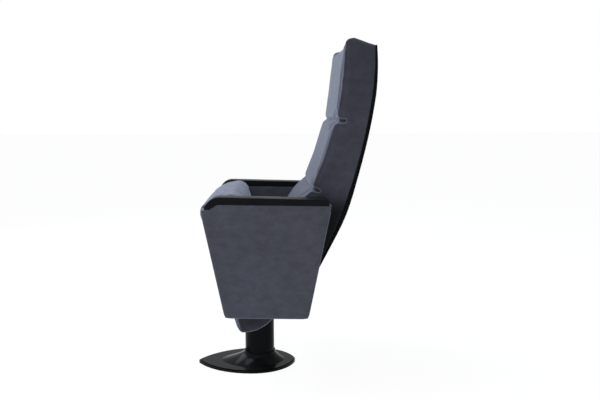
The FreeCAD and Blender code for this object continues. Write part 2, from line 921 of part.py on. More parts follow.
# Armrests: black moulded pads whose front end rolls down onto the panel's ledge
def make_armrest():
    body = new_body("armrest")
    front_y = size("panel_ledge_y") - size("arm_overhang")
    front_z = shoulder_z + size("arm_front_rise")
    rear_y = rear_top_y - size("arm_rear_inset")
    rear_z = rear_top_z + size("arm_rear_rise")
    base_z = front_z - size("arm_nose_radius") - spare
    corners = [
        (front_y, base_z),
        (rear_y, base_z),
        (rear_y, rear_z, size("arm_tail_radius")),
        (front_y, front_z, size("arm_nose_radius")),
    ]
    base = layer(body, "armrest_block", corners, panel_inner, size("panel_thickness"))
    under = new_sketch(body, "armrest_underside", "YZ_Plane", panel_inner - overlap)
    ledge_z = size("panel_ledge_z") + size("arm_ledge_gap")
    outline(under, [
        (front_y - spare, base_z - spare),
        (rear_y + spare, base_z - spare),
        (rear_y + spare, arm_under(rear_y + spare)),
        (shoulder_y, shoulder_z + gap),
        (size("panel_ledge_y"), ledge_z),
        (front_y - spare, ledge_z),
    ])
    last = pocket(body, under, size("panel_thickness") + overlap * 2)
    edge_radius = size("arm_edge_radius")

    def long_top(edge):
        flat = edge.BoundBox.XLength < 0.01
        high = edge.CenterOfMass.z > rear_z.value - edge_radius.value * 1.6
        return flat and high and edge.BoundBox.YLength > edge_radius.value * 4

    fillet(body, last, edges_where(last.Shape, long_top), edge_radius)
    arm_screw_holes(body, "armrest_holes", rear_top_z - spare, arm_screw_end - rear_top_z + spare + overlap)
    keep_pair(body, "armrest")


def arm_under(along):
    fall = rear_top_z - shoulder_z
    run = rear_top_y - shoulder_y
    return shoulder_z + gap + (along - shoulder_y) * fall / run


def make_arm_screws():
    start = (pocket_top - gap - size("side_frame_plate")).value
    solids = []
    for along in arm_screw_places():
        for side in (-1, 1):
            bolt = cap_screw(arm_screw_end.value - start, number("arm_screw_radius"))
            place_at = Vector(arm_screw_x().value * side, along.value, start)
            solids.append(set_along(bolt, place_at, Vector(0, 0, 1)))
    keep_shape("armrest_screws", Part.makeCompound(solids))


# Hinge: housing with two bushes, torsion spring, pin and a rubber-sleeved stop stud
housing_start = frame_outer
bore_start = housing_start + size("housing_wall")
housing_stop = housing_start + size("housing_length")
bore_stop = housing_stop - size("housing_end")


def make_housing():
    hole = size("bush_radius") + size("fit_gap")
    corners = [
        (housing_start, hole),
        (bore_start, hole),
        (bore_start, size("housing_bore")),
        (bore_stop, size("housing_bore")),
        (bore_stop, hole),
        (housing_stop, hole),
        (housing_stop, size("housing_radius")),
        (bore_start, size("housing_radius")),
        (bore_start, size("housing_flange_radius")),
        (housing_start, size("housing_flange_radius")),
    ]
    keep_pair(place(turned("hinge_housing", corners), 0, hinge_y, hinge_z), "hinge_housing")


def make_bushes():
    inner = size("pin_radius") + size("running_gap")
    lip_start = frame_inner - size("bush_lip")
    lipped = turned("lipped_bush", [
        (lip_start, inner),
        (bore_start, inner),
        (bore_start, size("bush_radius")),
        (frame_inner, size("bush_radius")),
        (frame_inner, size("bush_lip_radius")),
        (lip_start, size("bush_lip_radius")),
    ])
    plain = turned("plain_bush", [
        (bore_stop, inner),
        (housing_stop, inner),
        (housing_stop, size("bush_radius")),
        (bore_stop, size("bush_radius")),
    ])
    pair = doc.addObject("Part::Compound", "hinge_bushes")
    pair.Links = [place(lipped, 0, hinge_y, hinge_z), place(plain, 0, hinge_y, hinge_z)]
    keep_pair(pair, "hinge_bushes")


def make_pin():
    start = seat_side - size("hinge_plate_thickness") - size("hinge_boss_length")
    shoulder = seat_side + size("side_gap") / 2
    corners = [
        (start, 0),
        (housing_stop, 0),
        (housing_stop, size("pin_radius")),
        (shoulder, size("pin_radius")),
        (shoulder, size("pin_radius") + size("pin_collar")),
        (seat_side, size("pin_radius") + size("pin_collar")),
        (seat_side, size("pin_radius")),
        (start, size("pin_radius")),
    ]
    keep_pair(on_seat(turned("hinge_pin", corners)), "hinge_pin")


def make_stop():
    inner_end = seat_side - size("hinge_plate_thickness") + size("stop_end_inset")
    outer_end = frame_outer + size("stop_head_height")
    stud = turned("stop_stud", [
        (inner_end, 0),
        (outer_end, 0),
        (outer_end, size("stop_head_radius")),
        (frame_outer, size("stop_head_radius")),
        (frame_outer, size("stop_stud_radius")),
        (inner_end, size("stop_stud_radius")),
    ])
    keep_pair(place(stud, 0, stop_y, stop_z), "stop_stud")
    hole = size("stop_stud_radius") + size("fit_gap")
    sleeve = turned("stop_sleeve", [
        (inner_end, hole),
        (frame_inner, hole),
        (frame_inner, size("stop_sleeve_radius")),
        (inner_end, size("stop_sleeve_radius")),
    ])
    keep_pair(place(sleeve, 0, stop_y, stop_z), "stop_sleeve")


def make_return_spring():
    """A close coil round the pin, wound the other way on the other side."""
    wire = number("spring_wire")
    pitch = number("spring_pitch")
    length = pitch * number("spring_turns")
    coil = number("housing_bore") - gap.value - wire / 2
    room = bore_stop.value - bore_start.value
    start = bore_start.value + (room - length) / 2
    for label, side in (("return_spring_left", 1), ("return_spring_right", -1)):
        helix = Part.makeLongHelix(pitch, length, coil, 0, side < 0)
        section = Part.Wire(Part.makeCircle(wire / 2, Vector(coil, 0, 0), Vector(0, 1, 0)))
        tube = Part.Wire(helix.Edges).makePipeShell([section], True, True)
        feature = keep_shape(label, tube)
        turn = FreeCAD.Rotation(Vector(0, 0, 1), Vector(side, 0, 0))
        feature.Placement = FreeCAD.Placement(Vector(start * side, hinge_y.value, hinge_z.value), turn)
    print("least gap between the spring's turns: %.2f mm" % (pitch - wire))


# Seat: hinge plates with a curved stop slot, two tubes, board, underside and cushion
def slot_arc(sketch, centre, radius, begin, end):
    circle = Part.Circle(centre, Vector(0, 0, 1), radius)
    return sketch.addGeometry(Part.ArcOfCircle(circle, begin, end), False)


def stop_slot(sketch):
    """Curved slot about the hinge that the sleeved stud runs in."""
    middle = number("stop_radius")
    half = size("stop_sleeve_radius") + gap
    slack = size("stop_gap") / size("stop_radius") * (180 / math.pi)
    low = size("stop_lead") - slack
    high = size("stop_lead") + size("seat_travel") + slack
    a_low = math.radians(low.value)
    a_high = math.radians(high.value)
    origin = Vector(0, 0, 0)
    ends = [(low, a_low), (high, a_high)]
    centres = [Vector(middle * math.cos(a), middle * math.sin(a), 0) for size_, a in ends]
    outer = slot_arc(sketch, origin, middle + half.value, a_low, a_high)
    inner = slot_arc(sketch, origin, middle - half.value, a_low, a_high)
    cap_low = slot_arc(sketch, centres[0], half.value, a_low - math.pi, a_low)
    cap_high = slot_arc(sketch, centres[1], half.value, a_high, a_high + math.pi)
    for arc, radius in ((outer, size("stop_radius") + half), (inner, size("stop_radius") - half)):
        sketch.addConstraint(Sketcher.Constraint("Coincident", arc, 3, -1, 1))
        bind(sketch, "Radius", (arc,), radius)
    for cap, near_outer, near_inner, end in ((cap_low, 2, 1, 1), (cap_high, 1, 2, 2)):
        sketch.addConstraint(Sketcher.Constraint("Tangent", cap, near_outer, outer, end))
        sketch.addConstraint(Sketcher.Constraint("Tangent", cap, near_inner, inner, end))
    bind(sketch, "DistanceY", (-1, 1, cap_low, 3), size("stop_radius") * sine(low))
    bind(sketch, "DistanceX", (-1, 1, cap_high, 3), size("stop_radius") * cosine(high))


def hinge_plate_corners(grow):
    grow = as_size(grow)
    low = -(size("hinge_plate_low") + grow)
    high = size("hinge_plate_high") + grow
    rear = -(size("hinge_plate_rear") + grow)
    front = size("hinge_plate_front") + grow
    return low, high, rear, front


def make_hinge_plate():
    body = new_body("hinge_plate")
    low, high, rear, front = hinge_plate_corners(0)
    start = seat_side - size("hinge_plate_thickness")
    turn = size("hinge_plate_corner")
    corners = [(low, rear, turn), (high, rear, turn), (high, front, turn), (low, front, turn)]
    layer(body, "hinge_plate_outline", corners, start, size("hinge_plate_thickness"))
    boss = new_sketch(body, "hinge_boss", "YZ_Plane", start - size("hinge_boss_length"))
    round_hole(boss, 0, 0, size("hinge_boss_radius"))
    pad(body, boss, size("hinge_boss_length"))
    bore = new_sketch(body, "hinge_bore", "YZ_Plane", start - size("hinge_boss_length"))
    round_hole(bore, 0, 0, size("pin_radius") + size("fit_gap"))
    pocket(body, bore, size("hinge_boss_length") + size("hinge_plate_thickness"))
    slot = new_sketch(body, "stop_slot", "YZ_Plane", start)
    stop_slot(slot)
    pocket(body, slot, size("hinge_plate_thickness"))
    keep_pair(on_seat(body), "hinge_plate")


board_low = size("seat_board_drop")
board_high = board_low + size("seat_board_thickness")


def make_seat_tube(label, along):
    body = new_body(label)
    half = seat_side - size("hinge_plate_thickness")
    height = board_low - size("seat_tube_radius")
    sketch = new_sketch(body, label + "_section", "YZ_Plane", -half)
    round_hole(sketch, height, along, size("seat_tube_radius"))
    round_hole(sketch, height, along, size("seat_tube_radius") - size("seat_tube_wall"))
    pad(body, sketch, half * 2)
    seat_screw_holes(body, label + "_holes", [along], board_low, size("seat_tube_wall") + overlap)
    keep(on_seat(body), label)


def seat_screw_holes(body, name, rows, height, depth, radius=None):
    """Holes square to the board, drilled down from this height above the hinge."""
    cut = new_sketch(body, name, "XZ_Plane", -as_size(height))
    for along in rows:
        for side in (-1, 1):
            round_hole(cut, size("seat_screw_x") * side, along,
                       radius or size("seat_screw_radius") + size("hole_gap"))
    pocket(body, cut, depth)


def make_seat_screws():
    sink = number("seat_screw_head_height")
    radius = number("seat_screw_radius")
    length = number("seat_board_thickness") - sink + number("seat_tube_wall") + number("seat_screw_bite")
    solids = []
    for along in (number("front_tube_reach"), -number("rear_tube_reach")):
        for side in (-1, 1):
            start = Vector(side * number("seat_screw_x"), board_high.value, along)
            head = Part.makeCylinder(number("seat_screw_head"), sink, start, Vector(0, -1, 0))
            shank = Part.makeCylinder(radius, length, start - Vector(0, sink, 0), Vector(0, -1, 0))
            solids.append(head.fuse(shank).removeSplitter())
    keep_shape("seat_screws", Part.makeCompound(solids), True)


def make_seat_board():
    body = new_body("seat_board")
    half = seat_side - size("hinge_plate_thickness") - size("hinge_boss_length")
    rear = -size("seat_board_rear")
    front = size("seat_board_front")
    corners = [(board_low, rear), (board_high, rear), (board_high, front), (board_low, front)]
    layer(body, "seat_board_outline", corners, -half, half * 2)
    rows = [size("front_tube_reach"), -size("rear_tube_reach")]
    seat_screw_holes(body, "seat_board_holes", rows, board_high, size("seat_board_thickness"))
    sink = size("seat_screw_head") + size("hole_gap")
    seat_screw_holes(body, "seat_board_sinks", rows, board_high, size("seat_screw_head_height"), sink)
    keep(on_seat(body), "seat_board")


def make_seat_underside():
    body = new_body("seat_underside")
    half = seat_side - size("hinge_plate_thickness") - gap
    low = -size("seat_underside_drop")
    high = board_low - size("seat_tube_radius") * 2
    rear = -size("seat_board_rear")
    front = size("seat_board_front")
    corners = [(low, rear), (high, rear), (high, front), (low, front)]
    layer(body, "seat_underside_outline", corners, -half, half * 2)
    room = size("hinge_boss_length") + gap
    for side, start in (("left", half - room), ("right", -half)):
        cut = new_sketch(body, "boss_room_" + side, "YZ_Plane", start)
        round_hole(cut, 0, 0, size("hinge_boss_radius") + gap)
        pocket(body, cut, room)
    keep(on_seat(body), "seat_underside")


# Soft pieces: lofts through rounded outlines that swell towards the middle
def rounded_wire(corners, x):
    """Closed wire in the plane X = x through (y, z, radius) corners."""
    count = len(corners)
    places = [Vector(x, y, z) for y, z, radius in corners]
    entry = []
    leave = []
    arcs = []
    for index, (y, z, radius) in enumerate(corners):
        here = places[index]
        back = (places[index - 1] - here).normalize()
        ahead = (places[(index + 1) % count] - here).normalize()
        half = back.getAngle(ahead) / 2
        reach = radius / math.tan(half)
        centre = here + (back + ahead).normalize() * (radius / math.sin(half))
        middle = centre + (here - centre).normalize() * radius
        entry.append(here + back * reach)
        leave.append(here + ahead * reach)
        arcs.append(Part.Arc(entry[-1], middle, leave[-1]).toShape())
    edges = []
    for index in range(count):
        edges.append(arcs[index])
        edges.append(Part.makeLine(leave[index], entry[(index + 1) % count]))
    return Part.Wire(edges)


def moved_edges(corners, shifts):
    """Moves each edge, from its corner to the next, outwards by its shift."""
    count = len(corners)
    lines = []
    for index in range(count):
        start = corners[index]
        finish = corners[(index + 1) % count]
        run = math.hypot(finish[0] - start[0], finish[1] - start[1])
        along = ((finish[0] - start[0]) / run, (finish[1] - start[1]) / run)
        out = (along[1], -along[0])
        origin = (start[0] + out[0] * shifts[index], start[1] + out[1] * shifts[index])
        lines.append((origin, along))
    result = []
    for index in range(count):
        (p, a), (q, b) = lines[index - 1], lines[index]
        cross = a[0] * b[1] - a[1] * b[0]
        reach = ((q[0] - p[0]) * b[1] - (q[1] - p[1]) * b[0]) / cross
        inward = max(-shifts[index - 1], -shifts[index], 0)
        radius = max(corners[index][2] - inward, number("least_rounding"))
        result.append((p[0] + a[0] * reach, p[1] + a[1] * reach, radius))
    return result


def crowned(corners, swell, half, rounding):
    """Loft across the width: swell is each edge's crown, None where the edge stays flat."""
    stations = []
    for across in (0.0, 0.36, 0.68):
        stations.append((half * across, 0.0))
    for turn in (0, 45, 90):
        angle = math.radians(turn)
        stations.append((half - rounding + rounding * math.sin(angle), rounding * (1 - math.cos(angle))))
    wires = []
    for x, inset in stations:
        lift = 1 - (x / half) ** 2
        shifts = [0.0 if height is None else height * lift - inset for height in swell]
        wires.append((x, moved_edges(corners, shifts)))
    ordered = [(-x, outline_) for x, outline_ in reversed(wires[1:])] + wires
    return Part.makeLoft([rounded_wire(points, x) for x, points in ordered], True, True)


def seat_corners():
    low = -number("seat_underside_drop")
    rear_top = number("seat_rear_height")
    front = number("seat_front_reach")
    tail = number("seat_tail_radius")
    first = math.asin(low / tail)
    last = math.asin(rear_top / tail)
    middle = (first + last) / 2
    reach = tail / math.cos((last - first) / 2)
    return [
        (low, front, number("seat_lip_radius")),
        (low, -math.cos(first) * tail, number("seat_tail_corner")),
        (reach * math.sin(middle), -reach * math.cos(middle), tail * 0.75),
        (rear_top, -math.cos(last) * tail, number("seat_rear_corner")),
        (number("seat_front_height"), front, number("seat_nose_radius")),
    ]


def make_seat_cushion():
    half = seat_side.value
    crown = number("seat_crown")
    rounding = number("seat_side_rounding")
    block = crowned(seat_corners(), [0.0, 0.0, 0.0, crown, number("seat_front_crown")], half, rounding)
    thickness = number("hinge_plate_thickness")
    clear = number("soft_gap")
    inner = half - thickness
    low = -number("seat_underside_drop") - spare.value
    rear = number("seat_board_rear") + clear
    front = number("seat_board_front") + clear
    hollow = Part.makeBox(inner * 2, board_high.value + clear - low, rear + front, Vector(-inner, low, -rear))
    block = block.cut(hollow)
    low_edge, high_edge, rear_edge_, front_edge_ = [item.value for item in hinge_plate_corners(gap)]
    for start in (-half - overlap.value, inner - clear):
        recess = Part.makeBox(
            thickness + overlap.value + clear,
            high_edge - low_edge,
            front_edge_ - rear_edge_,
            Vector(start, low_edge, rear_edge_),
        )
        block = block.cut(recess)
    keep_shape("seat_cushion", block, True)


# Back: everything follows the rear curve of the shell, a long arc and a tighter one
def back_centres():
    angle = math.radians(number("back_joint_angle"))
    joint = Vector(0, number("back_joint_y"), number("back_joint_z"))
    inward = Vector(0, -math.cos(angle), math.sin(angle))
    lower = joint + inward * number("back_lower_radius")
    upper = joint + inward * number("back_upper_radius")
    return inward, lower, upper


def rear_point(depth, height, x=0.0):
    """The point at this height on the rear curve, moved in by depth."""
    inward, lower, upper = back_centres()
    joint = lower - inward * (number("back_lower_radius") - depth)
    centre, radius = lower, number("back_lower_radius")
    if height > joint.z:
        centre, radius = upper, number("back_upper_radius")
    reach = math.sqrt((radius - depth) ** 2 - (height - centre.z) ** 2)
    return Vector(x, centre.y + reach, height)


def rear_edges(depth, low, high, x):
    inward, lower, upper = back_centres()
    joint = lower - inward * (number("back_lower_radius") - depth)

    def arc(start_z, end_z):
        middle = rear_point(depth, (start_z + end_z) / 2, x)
        return Part.Arc(rear_point(depth, start_z, x), middle, rear_point(depth, end_z, x)).toShape()

    if low < joint.z - 1 and high > joint.z + 1:
        return [arc(low, joint.z), arc(joint.z, high)]
    return [arc(low, high)]


def band(near, far, low, high, x_from, x_to):
    """Solid between two depths of the rear curve, drawn from one X to another."""
    outer = rear_edges(near, low, high, x_from)
    inner = rear_edges(far, low, high, x_from)
    top = Part.makeLine(rear_point(near, high, x_from), rear_point(far, high, x_from))
    bottom = Part.makeLine(rear_point(far, low, x_from), rear_point(near, low, x_from))
    wire = Part.Wire(Part.__sortEdges__(outer + [top] + inner + [bottom]))
    return Part.Face(wire).extrude(Vector(x_to - x_from, 0, 0))


shell_back = number("shell_wall")
upright_near = shell_back
upright_far = upright_near + number("upright_depth")
board_near = upright_far
board_far = board_near + number("back_board_thickness")
shell_hole = number("shell_screw_radius") + number("hole_gap")


def rear_direction(height):
    """Unit vector that points forward, square to the rear curve."""
    inner = rear_point(shell_back, height)
    angle_centre = back_centres()[1] if height < number("back_joint_z") else back_centres()[2]
    return (angle_centre - inner).normalize()


def shell_screw_places():
    x = upright_inner.value + number("upright_width") / 2
    lower = number("lower_rail_z") - number("shell_screw_drop")
    heights = (lower, number("upper_rail_z") + number("shell_screw_rise"))
    return [(side * x, height) for side in (-1, 1) for height in heights]


def make_back_shell():
    half = back_half.value
    shell = band(0, shell_back, number("shell_bottom_z"), number("back_top_rear_z"), -half, half)

    def on_rear_face(edge):
        start = edge.valueAt(edge.FirstParameter)
        upright = edge.BoundBox.XLength < 0.01 and edge.BoundBox.ZLength > shell_back * 4
        return upright and abs(start.y - rear_point(0, start.z).y) < shell_back / 4

    shell = shell.makeFillet(shell_back * 0.6, [edge for edge in shell.Edges if on_rear_face(edge)])
    for x, height in shell_screw_places():
        direction = rear_direction(height)
        hole = Part.makeCylinder(shell_hole, shell_back + spare.value * 2)
        shell = shell.cut(set_along(hole, rear_point(0, height, x) - direction * spare.value, direction))
    keep_shape("back_shell", shell)


def make_uprights():
    wall = number("upright_wall")
    inner_x = upright_inner.value
    run_out = spare.value
    outer_x = inner_x + number("upright_width")
    low = number("beam_z") + number("beam_radius") + number("upright_foot_gap")
    high = number("upright_top_z")
    bar = band(upright_near, upright_far, low, high, inner_x, outer_x)
    near = upright_near + wall
    far = upright_far - wall
    bar = bar.cut(band(near, far, low - run_out, high + run_out, inner_x + wall, outer_x - wall))
    for place_at in back_bolt_places():
        radius = number("back_bolt_radius") + number("hole_gap")
        hole = Part.makeCylinder(radius, number("upright_width") + run_out * 2)
        bar = bar.cut(set_along(hole, place_at + Vector(inner_x - run_out, 0, 0), Vector(1, 0, 0)))
    for x, height in shell_screw_places():
        if x > 0:
            hole = Part.makeCylinder(shell_hole, shell_back + wall + run_out)
            bar = bar.cut(set_along(hole, rear_point(0, height, x), rear_direction(height)))
    feature = doc.addObject("Part::Feature", "back_upright")
    feature.Shape = bar
    keep_pair(feature, "back_upright")


def back_bolt_places():
    depth = (upright_near + upright_far) / 2
    top = number("bracket_top_z") - number("back_bolt_inset")
    return [rear_point(depth, top), rear_point(depth, top - number("back_bolt_spacing"))]


def make_back_bracket():
    body = new_body("back_bracket")
    waist = size("beam_z") + size("beam_radius") * 2
    top = size("bracket_top_z")
    foot = size("beam_z") + size("beam_radius") / 2
    near = upright_near + number("upright_depth") / 10
    far = upright_far - number("upright_depth") / 20
    corners = [
        (size("beam_y") - size("beam_radius") * 0.75, foot),
        (size("beam_y") + size("beam_radius") * 0.25, foot),
        (rear_point(near, waist.value).y, waist),
        (rear_point(near, top.value).y, top),
        (rear_point(far, top.value).y, top),
        (rear_point(far, waist.value).y, waist),
    ]
    start = upright_inner - size("bracket_thickness")
    layer(body, "back_bracket_outline", corners, start, size("bracket_thickness"))
    notch = new_sketch(body, "back_bracket_notch", "YZ_Plane", start)
    round_hole(notch, size("beam_y"), size("beam_z"), size("beam_radius"))
    pocket(body, notch, size("bracket_thickness"))
    holes = new_sketch(body, "back_bracket_holes", "YZ_Plane", start)
    for place_at in back_bolt_places():
        round_hole(holes, place_at.y, place_at.z, size("back_bolt_radius") + size("hole_gap"))
    pocket(body, holes, size("bracket_thickness"))
    keep_pair(body, "back_bracket")


def make_back_bolts():
    radius = number("back_bolt_radius")
    grip = number("bracket_thickness") + number("upright_width")
    start = Vector(upright_inner.value - number("bracket_thickness"), 0, 0)
    solids = []
    for place_at in back_bolt_places():
        for side in (-1, 1):
            bolt = cap_screw(grip, radius, radius * 1.5)
            solids.append(set_along(bolt, place_at + start * side, Vector(side, 0, 0)))
    keep_shape("back_bolts", Part.makeCompound(solids))


def make_shell_screws():
    radius = number("shell_screw_radius")
    grip = shell_back + number("upright_wall") + number("upright_foot_gap")
    solids = []
    for x, height in shell_screw_places():
        start = rear_point(0, height, x)
        solids.append(set_along(cap_screw(grip, radius), start, rear_direction(height)))
    keep_shape("shell_screws", Part.makeCompound(solids))


def make_back_rail(label, height):
    body = new_body(label)
    half = upright_inner
    centre = rear_point((upright_near + upright_far) / 2, height.value)
    sketch = new_sketch(body, label + "_section", "YZ_Plane", -half)
    round_hole(sketch, centre.y, height, size("rail_radius"))
    round_hole(sketch, centre.y, height, size("rail_radius") - size("rail_wall"))
    pad(body, sketch, half * 2)
    keep(body, label)


def make_back_board():
    half = board_half.value
    low = number("back_bottom_z") + number("back_board_rise")
    board = band(board_near, board_far, low, number("back_board_top_z"), -half, half)
    keep_shape("back_board", board)


def core_front():
    """Corners of the core's front, from the top down."""
    return [
        (number("core_top_y"), number("back_top_z")),
        (number("upper_notch_y"), number("upper_notch_z")),
        (number("lower_notch_y"), number("lower_notch_z")),
        (number("core_lumbar_y"), number("core_lumbar_z")),
        (number("core_foot_y"), number("core_foot_z")),
        (number("core_foot_y"), number("back_bottom_z")),
    ]


def make_back_core():
    half = back_half.value
    clear = gap.value
    near = shell_back + clear
    low = number("back_bottom_z")
    high = number("back_top_rear_z")
    top_rear = rear_point(near, high, -half)
    front = [Vector(-half, y, z) for y, z in core_front()]
    edges = rear_edges(near, low, high, -half)
    chain = [top_rear] + front + [rear_point(near, low, -half)]
    edges += [Part.makeLine(a, b) for a, b in zip(chain, chain[1:])]
    solid = Part.Face(Part.Wire(Part.__sortEdges__(edges))).extrude(Vector(half * 2, 0, 0))
    inner_half = board_half.value + clear
    run_out = spare.value
    top = number("back_board_top_z") + clear
    hollow = band(near - run_out, board_far + clear, low - run_out, top, -inner_half, inner_half)
    keep_shape("back_core", solid.cut(hollow))


def make_front_cushions():
    half = back_half.value
    crown = number("cushion_crown")
    swell = number("cushion_edge_swell")
    rounding = number("cushion_side_rounding")
    clear = gap.value
    notch = number("notch_gap") / 2
    rear = number("cushion_rear_radius")
    step = number("cushion_step")
    top, upper, lower, lumbar = core_front()[:4]

    def ahead(point, up=0.0, depth=clear):
        return (point[0] - depth, point[1] + up)

    def knee(start, finish, share, depth):
        """A corner this far in front of the line from start to finish."""
        across = start[0] + (finish[0] - start[0]) * share
        return (across - depth, start[1] + (finish[1] - start[1]) * share)

    headrest = [
        (*ahead(top), rear),
        (*ahead(top, 0, number("headrest_top_depth")), number("headrest_top_radius")),
        (*knee(top, upper, number("headrest_knee_share"), number("headrest_knee_depth")),
         number("headrest_knee_radius")),
        (*ahead(upper, notch, number("headrest_foot_depth")), number("headrest_foot_radius")),
        (*ahead(upper, notch), rear),
    ]
    middle = [
        (*ahead(upper, -notch, clear + step), rear),
        (*ahead(upper, -notch, number("middle_top_depth")), number("middle_top_radius")),
        (*knee(upper, lower, number("middle_knee_share"), number("middle_knee_depth")),
         number("middle_knee_radius")),
        (*ahead(lower, number("middle_foot_rise"), number("middle_foot_depth")), number("middle_foot_radius")),
        (*ahead(lower, notch), rear),
    ]
    lumbar_pad = [
        (*ahead(lower, -notch, clear + step), rear),
        (*ahead(lower, number("lumbar_top_rise"), number("lumbar_top_depth")), number("lumbar_top_radius")),
        (*knee(lower, lumbar, number("lumbar_shoulder_share"), number("lumbar_shoulder_depth")),
         number("lumbar_knee_radius")),
        (*knee(lower, lumbar, number("lumbar_knee_share"), number("lumbar_knee_depth")),
         number("lumbar_knee_radius")),
        (*ahead(lumbar, 0, number("lumbar_foot_depth")), number("lumbar_foot_radius")),
        (*ahead(lumbar), rear),
    ]
    for label, corners, lift in (
        ("headrest_cushion", headrest, [swell * 2, crown, crown, swell, None]),
        ("back_cushion", middle, [swell, crown, crown, swell, None]),
        ("lumbar_cushion", lumbar_pad, [swell, crown / 2, crown, crown / 2, 0.0, None]),
    ):
        keep_shape(label, crowned(corners, lift, half, rounding))


make_floor_plate()
make_base_cover()
make_post()
make_top_plate()
make_post_head()
make_head_screws()
make_cross_beam()
make_beam_bolts()
make_side_cover()
make_side_lining()
make_side_frame()
make_side_core()
make_armrest()
make_arm_screws()
make_housing()
make_bushes()
make_pin()
make_stop()
make_return_spring()
make_hinge_plate()
make_seat_tube("seat_tube_front", size("front_tube_reach"))
make_seat_tube("seat_tube_rear", -size("rear_tube_reach"))
make_seat_board()
make_seat_screws()
make_seat_underside()
make_seat_cushion()
make_back_shell()
make_uprights()
make_back_bracket()
make_back_bolts()
make_shell_screws()
make_back_rail("back_rail_lower", size("lower_rail_z"))
make_back_rail("back_rail_upper", size("upper_rail_z"))
make_back_board()
make_back_core()
make_front_cushions()
doc.recompute()

# Check the document, then write one file for each piece
for thing in doc.Objects:
    if "Invalid" in thing.State or "Error" in thing.State:
        raise RuntimeError("%s failed: %s" % (thing.Label, thing.State))
os.makedirs("parts", exist_ok=True)
bad = [label for label, thing in pieces.items() if thing.Shape.isNull() or not thing.Shape.isValid()]
if bad:
    raise RuntimeError("no valid shape: " + ", ".join(bad))
for label, thing in pieces.items():
    thing.Shape.exportStep(os.path.join("parts", label + ".step"))
print("%d pieces written" % len(pieces))
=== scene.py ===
import json
import math

import bmesh
import bpy
from bpy.props import FloatProperty, FloatVectorProperty, PointerProperty
from mathutils import Matrix, Vector


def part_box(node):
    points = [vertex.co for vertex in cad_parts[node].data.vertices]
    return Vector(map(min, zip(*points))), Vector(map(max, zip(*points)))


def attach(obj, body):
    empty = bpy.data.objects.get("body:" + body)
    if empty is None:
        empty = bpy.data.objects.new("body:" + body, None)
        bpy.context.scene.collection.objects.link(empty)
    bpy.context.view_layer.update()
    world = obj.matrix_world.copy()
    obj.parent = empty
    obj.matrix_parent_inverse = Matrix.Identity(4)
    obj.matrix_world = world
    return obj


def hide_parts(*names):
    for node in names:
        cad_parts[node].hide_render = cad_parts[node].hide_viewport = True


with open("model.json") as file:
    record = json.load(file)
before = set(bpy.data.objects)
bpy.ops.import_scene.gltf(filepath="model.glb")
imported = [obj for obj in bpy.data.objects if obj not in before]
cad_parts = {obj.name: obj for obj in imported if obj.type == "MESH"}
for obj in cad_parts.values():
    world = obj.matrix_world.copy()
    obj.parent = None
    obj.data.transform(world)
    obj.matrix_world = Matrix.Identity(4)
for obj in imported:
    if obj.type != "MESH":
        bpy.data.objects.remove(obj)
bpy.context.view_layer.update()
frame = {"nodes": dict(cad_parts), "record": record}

bl_info = {
    "name": "Tip Up Auditorium Seat",
    "version": (1, 0, 0),
    "blender": (4, 5, 0),
    "location": "View3D > Sidebar > Seat",
    "description": "Dresses the engineering model of a tip up auditorium seat",
    "category": "Object",
}

SIDES = ("left", "right")

# Reaches in metres for merging, comparing and cutting meshes, and the raised seat's lean
MERGE = 0.00001
SAME = 0.0001
CUT_REACH = 0.0002
SEAT_LEAN = math.radians(16.65)


# Sizes and colours a user would change

class FabricSettings(bpy.types.PropertyGroup):
    colour: FloatVectorProperty(
        name="Cloth colour", description="Colour of the short-pile cloth",
        subtype="COLOR", size=3, min=0, max=1, default=(0.060, 0.061, 0.079))
    seat_mesh: FloatProperty(
        name="Seat remesh size", description="Size of the mesh that the seat is inflated on",
        unit="LENGTH", default=0.006)
    back_mesh: FloatProperty(
        name="Back remesh size", description="Size of the mesh that the back is inflated on",
        unit="LENGTH", default=0.004)
    pressure: FloatProperty(
        name="Filling pressure", description="Pressure that swells the cushions", default=4.0)
    seam_radius: FloatProperty(
        name="Seam radius", description="Radius of the welt along the cushions' edges",
        unit="LENGTH", default=0.0022)
    panel_rounding: FloatProperty(
        name="Panel rounding", description="Rounding of the upholstered side panels",
        unit="LENGTH", default=0.003)
    panel_crown: FloatProperty(
        name="Panel crown", description="How far the middle of a side panel stands out",
        unit="LENGTH", default=0.0015)


class TrimSettings(bpy.types.PropertyGroup):
    armrest_colour: FloatVectorProperty(
        name="Armrest colour", description="Colour of the moulded armrests",
        subtype="COLOR", size=3, min=0, max=1, default=(0.0095, 0.0095, 0.0105))
    armrest_rounding: FloatProperty(
        name="Armrest rounding", description="Rounding along the armrests' long edges",
        unit="LENGTH", default=0.006)
    foot_colour: FloatVectorProperty(
        name="Foot colour", description="Colour of the glossy foot and post",
        subtype="COLOR", size=3, min=0, max=1, default=(0.005, 0.0055, 0.006))
    shell_colour: FloatVectorProperty(
        name="Shell colour", description="Colour of the moulded rear shell",
        subtype="COLOR", size=3, min=0, max=1, default=(0.006, 0.006, 0.0065))


class StageSettings(bpy.types.PropertyGroup):
    lens: FloatProperty(
        name="Focal length", description="Focal length on a 36 mm wide sensor",
        unit="CAMERA", default=41.17)
    yaw: FloatProperty(
        name="Yaw", description="Camera turn from -X towards +Y",
        subtype="ANGLE", default=math.radians(1.70))
    pitch: FloatProperty(
        name="Pitch", description="Camera's downward tilt",
        subtype="ANGLE", default=math.radians(7.11))
    roll: FloatProperty(
        name="Roll", description="Camera's roll",
        subtype="ANGLE", default=math.radians(-0.21))
    place: FloatVectorProperty(
        name="Camera place", description="Where the camera stands",
        subtype="XYZ", unit="LENGTH", size=3, default=(2.3851, 0.0754, 0.8808))


# Node helpers

def add_node(tree, kind, **values):
    node = tree.nodes.new(kind)
    for name, value in values.items():
        if name in node.inputs:
            node.inputs[name].default_value = value
        else:
            setattr(node, name, value)
    return node


